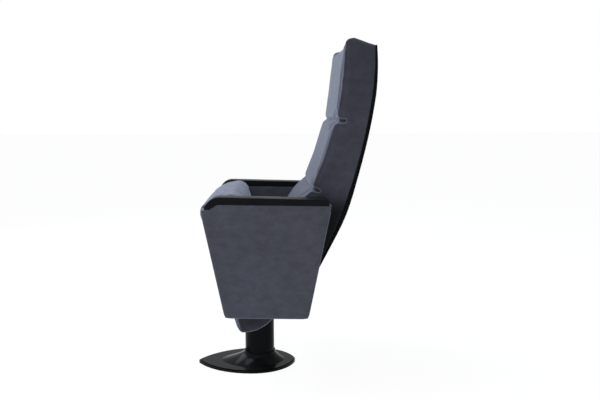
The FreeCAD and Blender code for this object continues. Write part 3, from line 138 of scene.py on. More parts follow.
def finish(name, colour, **shader):
    """A fresh material: its tree, its shader and the piece's own coordinates."""
    material = bpy.data.materials.new(name)
    material.use_nodes = True
    material.diffuse_color = (*colour, 1)
    tree = material.node_tree
    tree.nodes.clear()
    output = add_node(tree, "ShaderNodeOutputMaterial")
    surface = add_node(tree, "ShaderNodeBsdfPrincipled")
    surface.inputs["Base Color"].default_value = (*colour, 1)
    for key, value in shader.items():
        surface.inputs[key].default_value = value
    tree.links.new(surface.outputs["BSDF"], output.inputs["Surface"])
    place = add_node(tree, "ShaderNodeTexCoord")
    return material, tree, surface, place.outputs["Object"]


def noise(tree, place, scale, detail=2.0, roughness=0.5, stretch=(1, 1, 1)):
    mapping = add_node(tree, "ShaderNodeMapping", Scale=stretch)
    tree.links.new(place, mapping.inputs["Vector"])
    texture = add_node(tree, "ShaderNodeTexNoise", Scale=scale, Detail=detail, Roughness=roughness)
    tree.links.new(mapping.outputs["Vector"], texture.inputs["Vector"])
    return texture.outputs["Fac"]


def spread(tree, value, low, high):
    """Maps a texture's middle range on to low..high."""
    node = add_node(tree, "ShaderNodeMapRange")
    node.inputs["From Min"].default_value = 0.3
    node.inputs["From Max"].default_value = 0.7
    node.inputs["To Min"].default_value = low
    node.inputs["To Max"].default_value = high
    tree.links.new(value, node.inputs["Value"])
    return node.outputs["Result"]


def tint(tree, surface, colour, value):
    """The colour made lighter and darker by a value round 1."""
    node = add_node(tree, "ShaderNodeVectorMath", operation="SCALE")
    node.inputs[0].default_value = colour
    tree.links.new(value, node.inputs["Scale"])
    tree.links.new(node.outputs["Vector"], surface.inputs["Base Color"])


def math_node(tree, operation, first, second):
    node = add_node(tree, "ShaderNodeMath", operation=operation)
    for socket, value in zip(node.inputs, (first, second)):
        if isinstance(value, (int, float)):
            socket.default_value = value
        else:
            tree.links.new(value, socket)
    return node.outputs[0]


def emboss(tree, surface, height, strength, distance):
    bump = add_node(tree, "ShaderNodeBump", Strength=strength, Distance=distance)
    tree.links.new(height, bump.inputs["Height"])
    tree.links.new(bump.outputs["Normal"], surface.inputs["Normal"])


# Materials

def cloth_finish(name, colour, shade=1.0, bands=()):
    """Short-pile cloth with soft brushed patches; each band changes its shade along an axis, mostly as
    painted light and shade.
    """
    # A shade above or below 1 makes a lit or shaded copy of the cloth: painted light and shade.
    colour = tuple(channel * shade for channel in colour)
    material, tree, surface, place = finish(name, colour, Roughness=0.92)
    surface.inputs["Sheen Weight"].default_value = 0.35
    surface.inputs["Sheen Roughness"].default_value = 0.45
    surface.inputs["Sheen Tint"].default_value = (0.78, 0.85, 1.0, 1)
    surface.inputs["Specular IOR Level"].default_value = 0.15
    brushed = spread(tree, noise(tree, place, 26.0, 3.0, 0.6, (1, 1, 1.6)), 0.86, 1.14)
    patches = spread(tree, noise(tree, place, 7.0, 2.0), 0.94, 1.06)
    pile = spread(tree, noise(tree, place, 420.0, 1.0), 0.90, 1.10)
    mottle_and_painted_light = math_node(tree, "MULTIPLY", math_node(tree, "MULTIPLY", brushed, patches), pile)
    # The bands paint light and shade into the cloth's colour.
    for band in bands:
        mottle_and_painted_light = math_node(tree, "MULTIPLY", mottle_and_painted_light, band_shade(tree, place, *band))
    tint(tree, surface, colour, mottle_and_painted_light)
    height = math_node(tree, "ADD", pile, noise(tree, place, 1400.0, 0.0))
    emboss(tree, surface, height, 0.35, 0.0004)
    return material


def band_shade(tree, place, axis, low, high, below, above):
    """One shade below the lower place on an axis, another above the upper one, smooth between."""
    parts = add_node(tree, "ShaderNodeSeparateXYZ")
    tree.links.new(place, parts.inputs[0])
    fade = add_node(tree, "ShaderNodeMapRange", interpolation_type="SMOOTHSTEP")
    fade.inputs["From Min"].default_value = low
    fade.inputs["From Max"].default_value = high
    fade.inputs["To Min"].default_value = below
    fade.inputs["To Max"].default_value = above
    tree.links.new(parts.outputs[axis], fade.inputs["Value"])
    return fade.outputs["Result"]


def moulding_finish(name, colour, roughness, grain=900.0, strength=0.15):
    """Moulded plastic with a fine spark-eroded grain and faint handling wear."""
    material, tree, surface, place = finish(name, colour, Roughness=roughness)
    surface.inputs["Specular IOR Level"].default_value = 0.008
    wear = spread(tree, noise(tree, place, 9.0, 4.0), roughness - 0.06, roughness + 0.08)
    tree.links.new(wear, surface.inputs["Roughness"])
    tint(tree, surface, colour, spread(tree, noise(tree, place, 14.0, 2.0), 0.9, 1.12))
    emboss(tree, surface, noise(tree, place, grain, 1.0), strength, 0.0002)
    return material


def gloss_finish(name, colour):
    """Glossy black stove enamel or moulding with a slight orange-peel ripple."""
    material, tree, surface, place = finish(name, colour, Roughness=0.16)
    surface.inputs["Specular IOR Level"].default_value = 0.035
    wear = spread(tree, noise(tree, place, 12.0, 4.0), 0.10, 0.20)
    tree.links.new(wear, surface.inputs["Roughness"])
    tint(tree, surface, colour, spread(tree, noise(tree, place, 30.0, 2.0), 0.85, 1.15))
    emboss(tree, surface, noise(tree, place, 260.0, 0.0), 0.05, 0.0003)
    return material


def steel_finish(name, colour, roughness=0.32):
    """Bright turned steel with fine marks."""
    material, tree, surface, place = finish(name, colour, Roughness=roughness, Metallic=1.0)
    marks = noise(tree, place, 300.0, 3.0, 0.6, (0.2, 1, 1))
    tree.links.new(spread(tree, marks, roughness - 0.08, roughness + 0.1), surface.inputs["Roughness"])
    tint(tree, surface, colour, spread(tree, marks, 0.93, 1.05))
    emboss(tree, surface, marks, 0.08, 0.0002)
    return material


def ply_finish(name, colour):
    """Birch plywood: long grain with thin darker figure."""
    material, tree, surface, place = finish(name, colour, Roughness=0.6)
    figure = noise(tree, place, 38.0, 4.0, 0.6, (0.12, 1, 1))
    tint(tree, surface, colour, spread(tree, figure, 0.78, 1.12))
    emboss(tree, surface, figure, 0.2, 0.0004)
    return material


# Mesh helpers

def own_mesh(node):
    """A merged copy of a CAD piece's mesh, to start a new piece from."""
    mesh = bmesh.new()
    mesh.from_mesh(frame["nodes"][node].data)
    bmesh.ops.remove_doubles(mesh, verts=mesh.verts, dist=MERGE)
    return mesh


def outline_of(mesh, x):
    """Leaves only the flat outline where the plane X = x cuts the mesh."""
    everything = mesh.verts[:] + mesh.edges[:] + mesh.faces[:]
    bmesh.ops.bisect_plane(
        mesh, geom=everything, plane_co=(x, 0, 0), plane_no=(1, 0, 0),
        clear_inner=True, clear_outer=True)
    bmesh.ops.remove_doubles(mesh, verts=mesh.verts, dist=MERGE)
    bmesh.ops.dissolve_limit(
        mesh, angle_limit=math.radians(0.8), verts=mesh.verts, edges=mesh.edges)
    return mesh


def widen(mesh, low, high):
    """Fills the outline and draws it out from X = low to X = high."""
    face = bmesh.ops.contextual_create(mesh, geom=mesh.edges[:])["faces"]
    for vert in mesh.verts:
        vert.co.x = low
    drawn = bmesh.ops.extrude_face_region(mesh, geom=face)["geom"]
    moved = [item for item in drawn if isinstance(item, bmesh.types.BMVert)]
    bmesh.ops.translate(mesh, vec=(high - low, 0, 0), verts=moved)
    bmesh.ops.recalc_face_normals(mesh, faces=mesh.faces)
    return mesh


def long_edges(mesh):
    """The edges of both outlines of a widened piece."""
    return [edge for edge in mesh.edges if abs(edge.verts[0].co.x - edge.verts[1].co.x) < SAME]


def round_edges(mesh, edges, radius, segments):
    bmesh.ops.bevel(
        mesh, geom=edges, offset=radius, offset_type="OFFSET", affect="EDGES",
        segments=segments, profile=0.5, material=-1, clamp_overlap=True)


def cut_every(mesh, axis, step):
    """Cuts the faces by planes at even steps along an axis, so that they can bend."""
    low = min(vert.co[axis] for vert in mesh.verts)
    high = max(vert.co[axis] for vert in mesh.verts)
    count = max(1, round((high - low) / step))
    normal = Vector((0, 0, 0))
    normal[axis] = 1
    for index in range(1, count):
        point = normal * (low + (high - low) * index / count)
        everything = mesh.verts[:] + mesh.edges[:] + mesh.faces[:]
        bmesh.ops.bisect_plane(
            mesh, geom=everything, plane_co=point, plane_no=normal, dist=CUT_REACH)


def ramp(value, start, length):
    """0 up to the start, then evenly up to 1 over the length."""
    return min(max((value - start) / length, 0.0), 1.0)


def piece_from(mesh, name, smooth=True):
    data = bpy.data.meshes.new(name)
    mesh.to_mesh(data)
    mesh.free()
    piece = bpy.data.objects.new(name, data)
    bpy.context.scene.collection.objects.link(piece)
    for polygon in data.polygons:
        polygon.use_smooth = smooth
    return piece


def settle(piece, body, material, replaced=()):
    """Gives a finished piece its material, the body it rides on and what it stands for."""
    piece.data.materials.clear()
    piece.data.materials.append(material)
    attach(piece, body)
    if replaced:
        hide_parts(*replaced)
    return piece


def apply_modifier(piece, kind, **values):
    modifier = piece.modifiers.new(kind.title(), kind)
    for name, value in values.items():
        setattr(modifier, name, value)
    graph = bpy.context.evaluated_depsgraph_get()
    graph.update()
    made = bpy.data.meshes.new_from_object(piece.evaluated_get(graph))
    piece.modifiers.remove(modifier)
    old = piece.data
    made.name = old.name
    piece.data = made
    bpy.data.meshes.remove(old)


def sharp_edges(piece):
    """Keeps corners sharper than 35 degrees crisp in the shading."""
    piece.data.set_sharp_from_angle(angle=math.radians(35))


def inflate(piece, pinned, cap):
    """Swells the piece with the cloth solver; cap is the furthest that a point may move."""
    settings = bpy.context.scene.seat_fabric
    rest = [vert.co.copy() for vert in piece.data.vertices]
    group = piece.vertex_groups.new(name="pinned")
    group.add([vert.index for vert in piece.data.vertices if pinned(vert)], 1.0, "REPLACE")
    modifier = piece.modifiers.new("Cloth", "CLOTH")
    cloth = modifier.settings
    cloth.quality = 3
    cloth.use_pressure = True
    cloth.uniform_pressure_force = settings.pressure
    cloth.vertex_group_mass = group.name
    cloth.tension_stiffness = 25
    cloth.compression_stiffness = 25
    cloth.bending_stiffness = 2
    cloth.effector_weights.gravity = 0
    modifier.collision_settings.use_collision = False
    scene = bpy.context.scene
    last_frame = 20
    for step in range(1, last_frame + 1):
        scene.frame_set(step)
    graph = bpy.context.evaluated_depsgraph_get()
    swollen = piece.evaluated_get(graph).data
    places = [vert.co.copy() for vert in swollen.vertices]
    piece.modifiers.remove(modifier)
    piece.vertex_groups.remove(group)
    scene.frame_set(1)
    for vert, start, end in zip(piece.data.vertices, rest, places):
        move = end - start
        for axis in range(3):
            move[axis] = max(-cap[axis], min(cap[axis], move[axis]))
        vert.co = start + move


def padded_form(mesh, name, voxel, pinned, cap, finer=0):
    """Remeshes a closed form evenly, swells it and smooths it."""
    piece = piece_from(mesh, name)
    apply_modifier(piece, "REMESH", mode="VOXEL", voxel_size=voxel, use_smooth_shade=True)
    inflate(piece, pinned, cap)
    apply_modifier(piece, "SMOOTH", factor=0.5, iterations=2)
    if finer:
        apply_modifier(piece, "SUBSURF", levels=finer, render_levels=finer)
    return piece


def add_form(mesh, other):
    """Adds another bmesh's faces to this one and frees it."""
    data = bpy.data.meshes.new("part")
    other.to_mesh(data)
    other.free()
    mesh.from_mesh(data)
    bpy.data.meshes.remove(data)


def cut_loops(source, x):
    """The loops of points where the plane X = x cuts the piece, in order, without specks."""
    fewest = 20
    mesh = bmesh.new()
    mesh.from_mesh(source.data)
    everything = mesh.verts[:] + mesh.edges[:] + mesh.faces[:]
    bmesh.ops.bisect_plane(
        mesh, geom=everything, plane_co=(x, 0, 0), plane_no=(1, 0, 0),
        clear_inner=True, clear_outer=True)
    bmesh.ops.remove_doubles(mesh, verts=mesh.verts, dist=CUT_REACH)
    mesh.verts.ensure_lookup_table()
    left = dict.fromkeys(mesh.verts)
    loops = []
    while left:
        here = next(iter(left))
        del left[here]
        loop = [here.co.copy()]
        while here is not None:
            beyond = [edge.other_vert(here) for edge in here.link_edges]
            here = next((vert for vert in beyond if vert in left), None)
            if here is not None:
                del left[here]
                loop.append(here.co.copy())
        if len(loop) > fewest:
            loops.append(loop)
    mesh.free()
    return loops


def runs_where(loop, keep):
    """The unbroken runs of a closed loop's points that pass the test, without short ends."""
    fewest = 8
    flags = [keep(point) for point in loop]
    if all(flags):
        return [loop + loop[:1]]
    start = flags.index(False)
    runs = [[]]
    for index in range(len(loop)):
        place = (start + index) % len(loop)
        if flags[place]:
            runs[-1].append(loop[place])
        elif runs[-1]:
            runs.append([])
    return [run for run in runs if len(run) > fewest]


def eased(points):
    """The points with small jitter evened out in three passes; the ends stay."""
    for index in range(3):
        middle = [(a + b * 2 + c) / 4 for a, b, c in zip(points, points[1:], points[2:])]
        points = [points[0], *middle, points[-1]]
    return points


def welt_along(source, name, x, keep=lambda point: True):
    """A thin sewn welt on the surface where the plane X = x cuts the piece."""
    curve = bpy.data.curves.new(name, "CURVE")
    curve.dimensions = "3D"
    curve.bevel_depth = bpy.context.scene.seat_fabric.seam_radius
    curve.bevel_resolution = 1
    curve.use_fill_caps = True
    for loop in cut_loops(source, x):
        for run in runs_where(loop, keep):
            points = eased(run)
            spline = curve.splines.new("POLY")
            spline.points.add(len(points) - 1)
            for target, point in zip(spline.points, points):
                target.co = (*point, 1)
    holder = bpy.data.objects.new(name, curve)
    bpy.context.scene.collection.objects.link(holder)
    graph = bpy.context.evaluated_depsgraph_get()
    graph.update()
    data = bpy.data.meshes.new_from_object(holder.evaluated_get(graph))
    data.name = name
    bpy.data.objects.remove(holder)
    piece = bpy.data.objects.new(name, data)
    bpy.context.scene.collection.objects.link(piece)
    for polygon in data.polygons:
        polygon.use_smooth = True
    return piece


def joined(name, pieces):
    """One mesh from several pieces."""
    mesh = bmesh.new()
    for piece in pieces:
        mesh.from_mesh(piece.data)
        bpy.data.objects.remove(piece)
    return piece_from(mesh, name)


def made_once(name, shade, bands=()):
    """The settings' cloth in one shade, made the first time it is asked for."""
    if name in bpy.data.materials:
        return bpy.data.materials[name]
    return cloth_finish(name, tuple(bpy.context.scene.seat_fabric.colour), shade, bands)


def cloth():
    return made_once("pile_cloth", 1.0)


def welt_cloth_painted_highlight():
    """The welts sewn along the edges, in a lighter copy of the cloth: painted highlight where their
    rounded edges catch the light.
    """
    # The shade of 1.6 makes a lit copy of the cloth: painted highlight.
    return made_once("pile_cloth_welt_painted_highlight", 1.6)


def shaded_back_cloth():
    """A darker copy of the cloth, painted shade on the back; painted shadow of the side panels takes
    it near black below the armrests, and painted shade darkens it round the head.
    """
    # Painted shadow of the side panels, near black below the armrests.
    painted_panel_shadow = ("Z", 0.57, 0.65, 0.12, 1.0)
    # Painted shade over the head.
    painted_head_shade = ("Z", 0.86, 0.92, 1.0, 0.84)
    # The shade of 0.80 makes a shaded copy of the cloth: painted shade.
    return made_once("pile_cloth_back_painted_shade", 0.80, (painted_panel_shadow, painted_head_shade))


def seat_cloth():
    """Darker under the tail; painted light over the front roll, and painted shade on the sitting face
    behind it.
    """
    tail = ("Z", 0.225, 0.28, 0.55, 1.0)
    # Painted light on the front roll (1.4), painted shade on the sitting face behind it (0.82).
    roll = ("Y", -0.09, -0.05, 1.4, 0.82)
    return made_once("pile_cloth_seat_painted_light", 1.0, (tail, roll))


def dip_at(x, z, half, top):
    """How far the back's dished top sinks at a point."""
    depth = 0.012
    reach = 0.14
    rise = ramp(z, top - reach, reach)
    return depth * (1 - min(abs(x) / half, 1.0) ** 10) * rise ** 3


# One operator for each piece or group of like pieces

class SEAT_OT_seat_upholstery(bpy.types.Operator):
    """Builds the tipping seat's padded cushion and its sewn welts"""
    bl_idname = "seat.seat_upholstery"
    bl_label = "Seat Upholstery"

    def execute(self, context):
        low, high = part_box("seat_cushion")
        mesh = own_mesh("seat_cushion")
        bmesh.ops.delete(mesh, geom=mesh.edges[:] + mesh.faces[:], context="EDGES_FACES")
        hull = bmesh.ops.convex_hull(mesh, input=mesh.verts, use_existing_faces=False)
        inner = set(hull["geom_interior"] + hull["geom_unused"])
        spare = [item for item in inner if isinstance(item, bmesh.types.BMVert)]
        bmesh.ops.delete(mesh, geom=spare, context="VERTS")
        bmesh.ops.recalc_face_normals(mesh, faces=mesh.faces)
        self.slim_front(mesh, high)
        settings = context.scene.seat_fabric
        piece = padded_form(
            mesh, "seat_pad", settings.seat_mesh, lambda vert: False, (0.002, 0.004, 0.004), 1)
        settle(piece, "seat", seat_cloth(), ("seat_cushion", "seat_underside"))
        inset = 0.005
        welts = [welt_along(piece, "welt", side * (high.x - inset)) for side in (-1, 1)]
        seam = joined("seat_welts", welts)
        settle(seam, "seat", welt_cloth_painted_highlight())
        return {"FINISHED"}

    def slim_front(self, mesh, high):
        """The sitting face falls away towards the front edge, and both ends are drawn in."""
        hinge = Vector(frame["record"]["behaviour"]["joints"][0]["pos_m"])
        above = Vector((0, math.cos(SEAT_LEAN), math.sin(SEAT_LEAN)))
        ahead = Vector((0, -math.sin(SEAT_LEAN), math.cos(SEAT_LEAN)))
        for step in (0.10, 0.15, 0.20, 0.24):
            everything = mesh.verts[:] + mesh.edges[:] + mesh.faces[:]
            bmesh.ops.bisect_plane(
                mesh, geom=everything, plane_co=hinge + ahead * step, plane_no=ahead,
                dist=CUT_REACH)
        slim_start, slim_length, slim_side, slim_middle = 0.04, 0.20, 0.010, 0.011
        nose_start, nose_length, nose_drop = 0.235, 0.033, 0.012
        foam_low, foam_depth = 0.03, 0.08
        front_start, front_length, front_height, front_slope = 0.12, 0.148, 0.10, 0.008
        rear_start, rear_length, rear_slope = 0.14, 0.04, 0.006
        for vert in mesh.verts:
            offset = vert.co - hinge
            reach = offset.dot(ahead)
            height = offset.dot(above)
            if reach > slim_start and height > foam_low:
                middle = 1 - (vert.co.x / high.x) ** 2
                drop = slim_side + slim_middle * middle
                drop *= ramp(reach, slim_start, slim_length)
                nose = nose_drop * max(0.0, (reach - nose_start) / nose_length) ** 2
                vert.co -= above * (drop + nose) * (height - foam_low) / foam_depth
            slope = 1 - ramp(height, 0, front_height)
            slope *= max(0.0, (reach - front_start) / front_length)
            vert.co -= ahead * front_slope * slope
            vert.co += ahead * rear_slope * ramp(-reach, rear_start, rear_length)


class SEAT_OT_back_upholstery(bpy.types.Operator):
    """Builds the back's three padded lobes as one upholstered form, with sewn welts"""
    bl_idname = "seat.back_upholstery"
    bl_label = "Back Upholstery"

    def execute(self, context):
        settings = context.scene.seat_fabric
        lobes = {"headrest_cushion": (1, 0), "back_cushion": (1, 1), "lumbar_cushion": (0, 1)}
        low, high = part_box("back_core")
        core_inset, flank_inset, flank_width, flank_gap = 0.004, 0.013, 0.03, 0.0005
        crease, flank_crease, welt_inset = 0.0012, 0.0042, 0.003
        mesh = widen(outline_of(own_mesh("back_core"), high.x - core_inset), low.x, high.x)
        for node, creased in lobes.items():
            add_form(mesh, self.drawn_in(own_mesh(node), crease, *creased))
            for side in (-1, 1):
                edge = outline_of(own_mesh(node), side * (high.x - flank_inset))
                ends = sorted((side * (high.x - flank_width), side * (high.x - flank_gap)))
                add_form(mesh, self.drawn_in(widen(edge, *ends), flank_crease, *creased))

        def pinned(vert):
            return vert.normal.y > 0.4 or vert.co.z < 0.45

        piece = padded_form(mesh, "back_pad", settings.back_mesh, pinned, (0.0015, 0.003, 0.003))
        self.hollow_top(piece, high)
        settle(piece, "stand", shaded_back_cloth(), ("back_core", *lobes))
        edges = (welt_inset - high.x, high.x - welt_inset)
        welts = [welt_along(piece, "welt", edge, self.in_front) for edge in edges]
        seam = joined("back_welts", welts)
        settle(seam, "stand", welt_cloth_painted_highlight())
        return {"FINISHED"}

    def drawn_in(self, mesh, inset, at_low, at_high):
        """Moves a lobe's creased ends in, which keeps the creases open."""
        low = min(vert.co.z for vert in mesh.verts)
        high = max(vert.co.z for vert in mesh.verts)
        for vert in mesh.verts:
            share = 2 * (vert.co.z - low) / (high - low) - 1
            vert.co.z += inset * (at_low * max(0.0, -share) - at_high * max(0.0, share))
        return mesh

    def in_front(self, point):
        """Whether a point of the side's outline lies on the sitter's side of the back."""
        return point.z > 0.5 and point.y < 0.175 + 0.2727 * (point.z - 0.45)

    def hollow_top(self, piece, high):
        """The headrest is dished between its two stiff sides, and its top edge is rounded."""
        reach = 0.14
        front_y, front_length = 0.315, 0.03
        crown, crown_y, crown_half = 0.005, 0.338, 0.045
        for vert in piece.data.vertices:
            across = min(abs(vert.co.x) / high.x, 1.0)
            rise = ramp(vert.co.z, high.z - reach, reach)
            front = ramp(-vert.co.y, -front_y, front_length)
            ease = rise * rise * (3 - 2 * rise)
            round_top = max(0.0, 1 - ((vert.co.y - crown_y) / crown_half) ** 2)
            dish = 0.005 + 0.010 * (1 - across ** 2) + 0.004 * (1 - across ** 6)
            dip = dip_at(vert.co.x, vert.co.z, high.x, high.z)
            vert.co.y += front * ease * dish
            vert.co.z += crown * round_top * rise ** 6 - dip


class SEAT_OT_side_panels(bpy.types.Operator):
    """Builds the two upholstered side panels"""
    bl_idname = "seat.side_panels"
    bl_label = "Side Panels"

    def execute(self, context):
        settings = context.scene.seat_fabric
        skin_depth, welt_depth, step = 0.008, 0.0025, 0.012
        for side in SIDES:
            node = "side_cover_" + side
            low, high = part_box(node)
            outer = high.x if side == "left" else low.x
            skin = outer - math.copysign(skin_depth, outer)
            mesh = widen(outline_of(own_mesh(node), skin), low.x, high.x)
            round_edges(mesh, long_edges(mesh), settings.panel_rounding, 4)
            cut_every(mesh, 1, step)
            cut_every(mesh, 2, step)
            for vert in mesh.verts:
                if abs(abs(vert.co.x) - abs(outer)) < SAME:
                    y = 2 * (vert.co.y - low.y) / (high.y - low.y) - 1
                    z = 2 * (vert.co.z - low.z) / (high.z - low.z) - 1
                    swell = settings.panel_crown * (1 - y * y) * (1 - z * z)
                    vert.co.x += math.copysign(swell, outer)
            piece = piece_from(mesh, "side_panel_" + side)
            settle(piece, "stand", cloth(), (node, "side_lining_" + side))
            edge = outer - math.copysign(welt_depth, outer)
            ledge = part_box("armrest_" + side)[0].z
            seam = welt_along(piece, "panel_welt_" + side, edge, lambda point: point.z < ledge)
            settle(seam, "stand", welt_cloth_painted_highlight())
        return {"FINISHED"}


class SEAT_OT_armrests(bpy.types.Operator):
    """Builds the two moulded armrests with rounded edges"""
    bl_idname = "seat.armrests"
    bl_label = "Armrests"

    def execute(self, context):
        settings = context.scene.seat_trim
        material = moulding_finish("armrest_moulding", tuple(settings.armrest_colour), 0.34)
        for side in SIDES:
            node = "armrest_" + side
            low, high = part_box(node)
            mesh = outline_of(own_mesh(node), (low.x * 3 + high.x) / 4)
            widen(mesh, low.x, high.x)
            middle = (low.z + high.z) / 2
            top = [edge for edge in long_edges(mesh) if max(vert.co.z for vert in edge.verts) > middle]
            round_edges(mesh, top, settings.armrest_rounding, 5)
            piece = piece_from(mesh, "armrest_pad_" + side)
            sharp_edges(piece)
            settle(piece, "stand", material, (node,))
        return {"FINISHED"}


class SEAT_OT_foot_and_post(bpy.types.Operator):
    """Finishes the glossy foot, the post and the horn under the seat"""
    bl_idname = "seat.foot_and_post"
    bl_label = "Foot and Post"

    def execute(self, context):
        colour = tuple(context.scene.seat_trim.foot_colour)
        gloss = gloss_finish("gloss_enamel", colour)
        for node in (
                "base_cover", "pedestal_post", "post_top_plate",
                "post_head", "cross_beam", "floor_plate"):
            dress(node, gloss)
        return {"FINISHED"}


class SEAT_OT_back_shell(bpy.types.Operator):
    """Builds the moulded rear shell with its dished top edge"""
    bl_idname = "seat.back_shell"
    bl_label = "Back Shell"

    def execute(self, context):
        settings = context.scene.seat_trim
        low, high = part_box("back_shell")
        mesh = own_mesh("back_shell")
        cut_every(mesh, 0, 0.03)
        bmesh.ops.recalc_face_normals(mesh, faces=mesh.faces)
        mesh.normal_update()
        fullness, fade, low_end, high_end = 0.005, 0.15, 0.40, 1.09
        waist, waist_length = 0.57, 0.09
        for vert in mesh.verts:
            if vert.normal.y > 0.3:
                ends = ramp(vert.co.z, low_end, fade) * ramp(-vert.co.z, -high_end, fade)
                vert.co.y += fullness * ends
                vert.co.y += fullness * math.exp(-((vert.co.z - waist) / waist_length) ** 2)
            vert.co.z -= dip_at(vert.co.x, vert.co.z, high.x, high.z)
        piece = piece_from(mesh, "back_cover")
        sharp_edges(piece)
        material = moulding_finish("shell_moulding", tuple(settings.shell_colour), 0.5)
        settle(piece, "stand", material, ("back_shell",))
        return {"FINISHED"}


def dress(node, material):
    data = frame["nodes"][node].data
    data.materials.clear()
    data.materials.append(material)


class SEAT_OT_hidden_works(bpy.types.Operator):
    """Finishes the hinges, springs, steel frames, boards and screws"""
    bl_idname = "seat.hidden_works"
    bl_label = "Hidden Works"

    def execute(self, context):
        paint = moulding_finish("frame_paint", (0.014, 0.014, 0.015), 0.42, 500.0, 0.1)
        steel = steel_finish("turned_steel", (0.42, 0.42, 0.44))
        zinc = steel_finish("zinc_plate", (0.32, 0.32, 0.33), 0.4)
        nylon = moulding_finish("bearing_nylon", (0.62, 0.6, 0.52), 0.45)
        rubber = moulding_finish("buffer_rubber", (0.014, 0.014, 0.014), 0.75)
        ply = ply_finish("birch_ply", (0.40, 0.24, 0.11))
        finishes = {
            "black_steel": paint, "bright_steel": steel, "zinc_screws": zinc,
            "bearing_nylon": nylon, "rubber_buffer": rubber, "plywood": ply,
            "dark_upholstery": cloth(), "light_upholstery": cloth(),
        }
        for part in frame["record"]["subparts"]:
            if part["material_slot"] in finishes:
                dress(part["node"], finishes[part["material_slot"]])
        return {"FINISHED"}


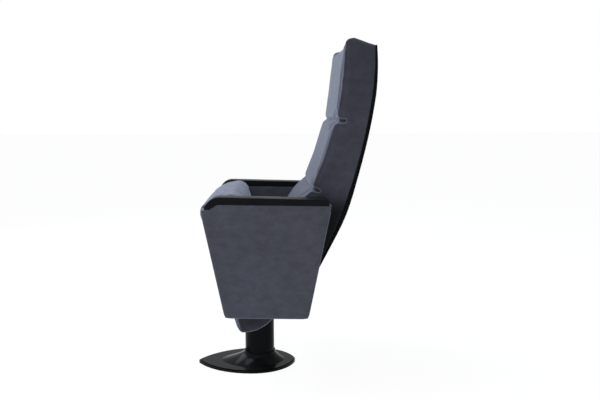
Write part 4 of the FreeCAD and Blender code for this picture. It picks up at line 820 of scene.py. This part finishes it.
class SEAT_OT_stage(bpy.types.Operator):
    """Builds the floor, the studio light and the camera"""
    bl_idname = "seat.stage"
    bl_label = "Stage"

    def execute(self, context):
        scene = context.scene
        scene.view_settings.view_transform = "Standard"
        self.build_floor()
        self.build_world(scene)
        pale_blue, pale, white = (0.70, 0.84, 1.0), (0.88, 0.94, 1.0), (1, 1, 1)
        self.build_lamp("window", (-1.5, -2.0, 2.0), (0, 0.1, 0.7), 1.7, 60, pale_blue)
        self.build_lamp("top_softbox", (0, -0.9, 3.0), (0, -0.05, 0.5), 1.6, 64, pale)
        self.build_lamp("side_fill", (2.6, -1.0, 1.6), (0, 0, 0.6), 1.6, 10, white)
        self.build_camera(scene)
        return {"FINISHED"}

    def build_floor(self):
        mesh = bmesh.new()
        half, below = 30, 0.0005
        bmesh.ops.create_grid(mesh, x_segments=1, y_segments=1, size=half)
        bmesh.ops.translate(mesh, vec=(0, 0, -below), verts=mesh.verts)
        floor = piece_from(mesh, "studio_floor", smooth=False)
        material = bpy.data.materials.new("studio_floor")
        material.use_nodes = True
        tree = material.node_tree
        tree.nodes.clear()
        output = add_node(tree, "ShaderNodeOutputMaterial")
        mix = add_node(tree, "ShaderNodeMixShader")
        plain = add_node(tree, "ShaderNodeBsdfDiffuse", Color=(0.86, 0.86, 0.86, 1))
        bright = add_node(tree, "ShaderNodeEmission", Color=(1, 1, 1, 1), Strength=1.03)
        share = math_node(tree, "MULTIPLY", seen_directly(tree), 0.9)
        tree.links.new(share, mix.inputs[0])
        tree.links.new(plain.outputs[0], mix.inputs[1])
        tree.links.new(bright.outputs[0], mix.inputs[2])
        tree.links.new(mix.outputs[0], output.inputs["Surface"])
        floor.data.materials.append(material)

    def build_world(self, scene):
        world = bpy.data.worlds.new("studio")
        world.use_nodes = True
        scene.world = world
        tree = world.node_tree
        tree.nodes.clear()
        output = add_node(tree, "ShaderNodeOutputWorld")
        mix = add_node(tree, "ShaderNodeMixShader")
        soft = add_node(tree, "ShaderNodeBackground", Color=(0.95, 0.97, 1.0, 1), Strength=0.62)
        white = add_node(tree, "ShaderNodeBackground", Color=(1, 1, 1, 1), Strength=1.0)
        tree.links.new(seen_directly(tree), mix.inputs[0])
        tree.links.new(soft.outputs[0], mix.inputs[1])
        tree.links.new(white.outputs[0], mix.inputs[2])
        tree.links.new(mix.outputs[0], output.inputs["Surface"])

    def build_lamp(self, name, place, target, size, power, colour):
        data = bpy.data.lights.new(name, "AREA")
        data.shape = "SQUARE"
        data.size = size
        data.energy = power
        data.color = colour
        lamp = bpy.data.objects.new(name, data)
        bpy.context.scene.collection.objects.link(lamp)
        lamp.location = place
        direction = Vector(target) - Vector(place)
        lamp.rotation_euler = direction.to_track_quat("-Z", "Y").to_euler()

    def build_camera(self, scene):
        settings = scene.seat_stage
        pitch, yaw, roll = settings.pitch, settings.yaw, settings.roll
        level = Vector((-math.cos(yaw), math.sin(yaw), 0))
        ahead = level * math.cos(pitch) - Vector((0, 0, math.sin(pitch)))
        right = ahead.cross(Vector((0, 0, 1))).normalized()
        above = right.cross(ahead)
        turned = right * math.cos(roll) + above * math.sin(roll)
        above = above * math.cos(roll) - right * math.sin(roll)
        data = bpy.data.cameras.new("camera")
        data.sensor_width = 36
        data.lens = settings.lens
        data.clip_end = 100
        camera = bpy.data.objects.new("camera", data)
        scene.collection.objects.link(camera)
        turn = Matrix((turned, above, -ahead)).transposed()
        camera.matrix_world = Matrix.Translation(Vector(settings.place)) @ turn.to_4x4()
        scene.camera = camera


def seen_directly(tree):
    """1 for rays from the camera, in mirrors and through glass, 0 for light on the object."""
    path = add_node(tree, "ShaderNodeLightPath")
    seen = math_node(tree, "MAXIMUM", path.outputs["Is Camera Ray"], path.outputs["Is Glossy Ray"])
    return math_node(tree, "MAXIMUM", seen, path.outputs["Is Transmission Ray"])


OPERATORS = (
    SEAT_OT_seat_upholstery,
    SEAT_OT_back_upholstery,
    SEAT_OT_side_panels,
    SEAT_OT_armrests,
    SEAT_OT_foot_and_post,
    SEAT_OT_back_shell,
    SEAT_OT_hidden_works,
    SEAT_OT_stage,
)


class SEAT_PT_seat(bpy.types.Panel):
    """Lists the seat's settings and building steps"""
    bl_idname = "SEAT_PT_seat"
    bl_label = "Tip Up Auditorium Seat"
    bl_space_type = "VIEW_3D"
    bl_region_type = "UI"
    bl_category = "Seat"

    def draw(self, context):
        layout = self.layout
        for group in (context.scene.seat_fabric, context.scene.seat_trim, context.scene.seat_stage):
            for name in group.bl_rna.properties.keys():
                if name not in ("rna_type", "name"):
                    layout.prop(group, name)
        for operator in OPERATORS:
            layout.operator(operator.bl_idname)


GROUPS = {
    "seat_fabric": FabricSettings,
    "seat_trim": TrimSettings,
    "seat_stage": StageSettings,
}
CLASSES = (*GROUPS.values(), *OPERATORS, SEAT_PT_seat)


def register():
    for item in CLASSES:
        bpy.utils.register_class(item)
    for name, group in GROUPS.items():
        setattr(bpy.types.Scene, name, PointerProperty(type=group))


def unregister():
    for name in GROUPS:
        delattr(bpy.types.Scene, name)
    for item in reversed(CLASSES):
        bpy.utils.unregister_class(item)


def main():
    register()
    bpy.ops.seat.hidden_works()
    bpy.ops.seat.foot_and_post()
    bpy.ops.seat.back_shell()
    bpy.ops.seat.armrests()
    bpy.ops.seat.side_panels()
    bpy.ops.seat.seat_upholstery()
    bpy.ops.seat.back_upholstery()
    bpy.ops.seat.stage()


if __name__ == "__main__":
    main()
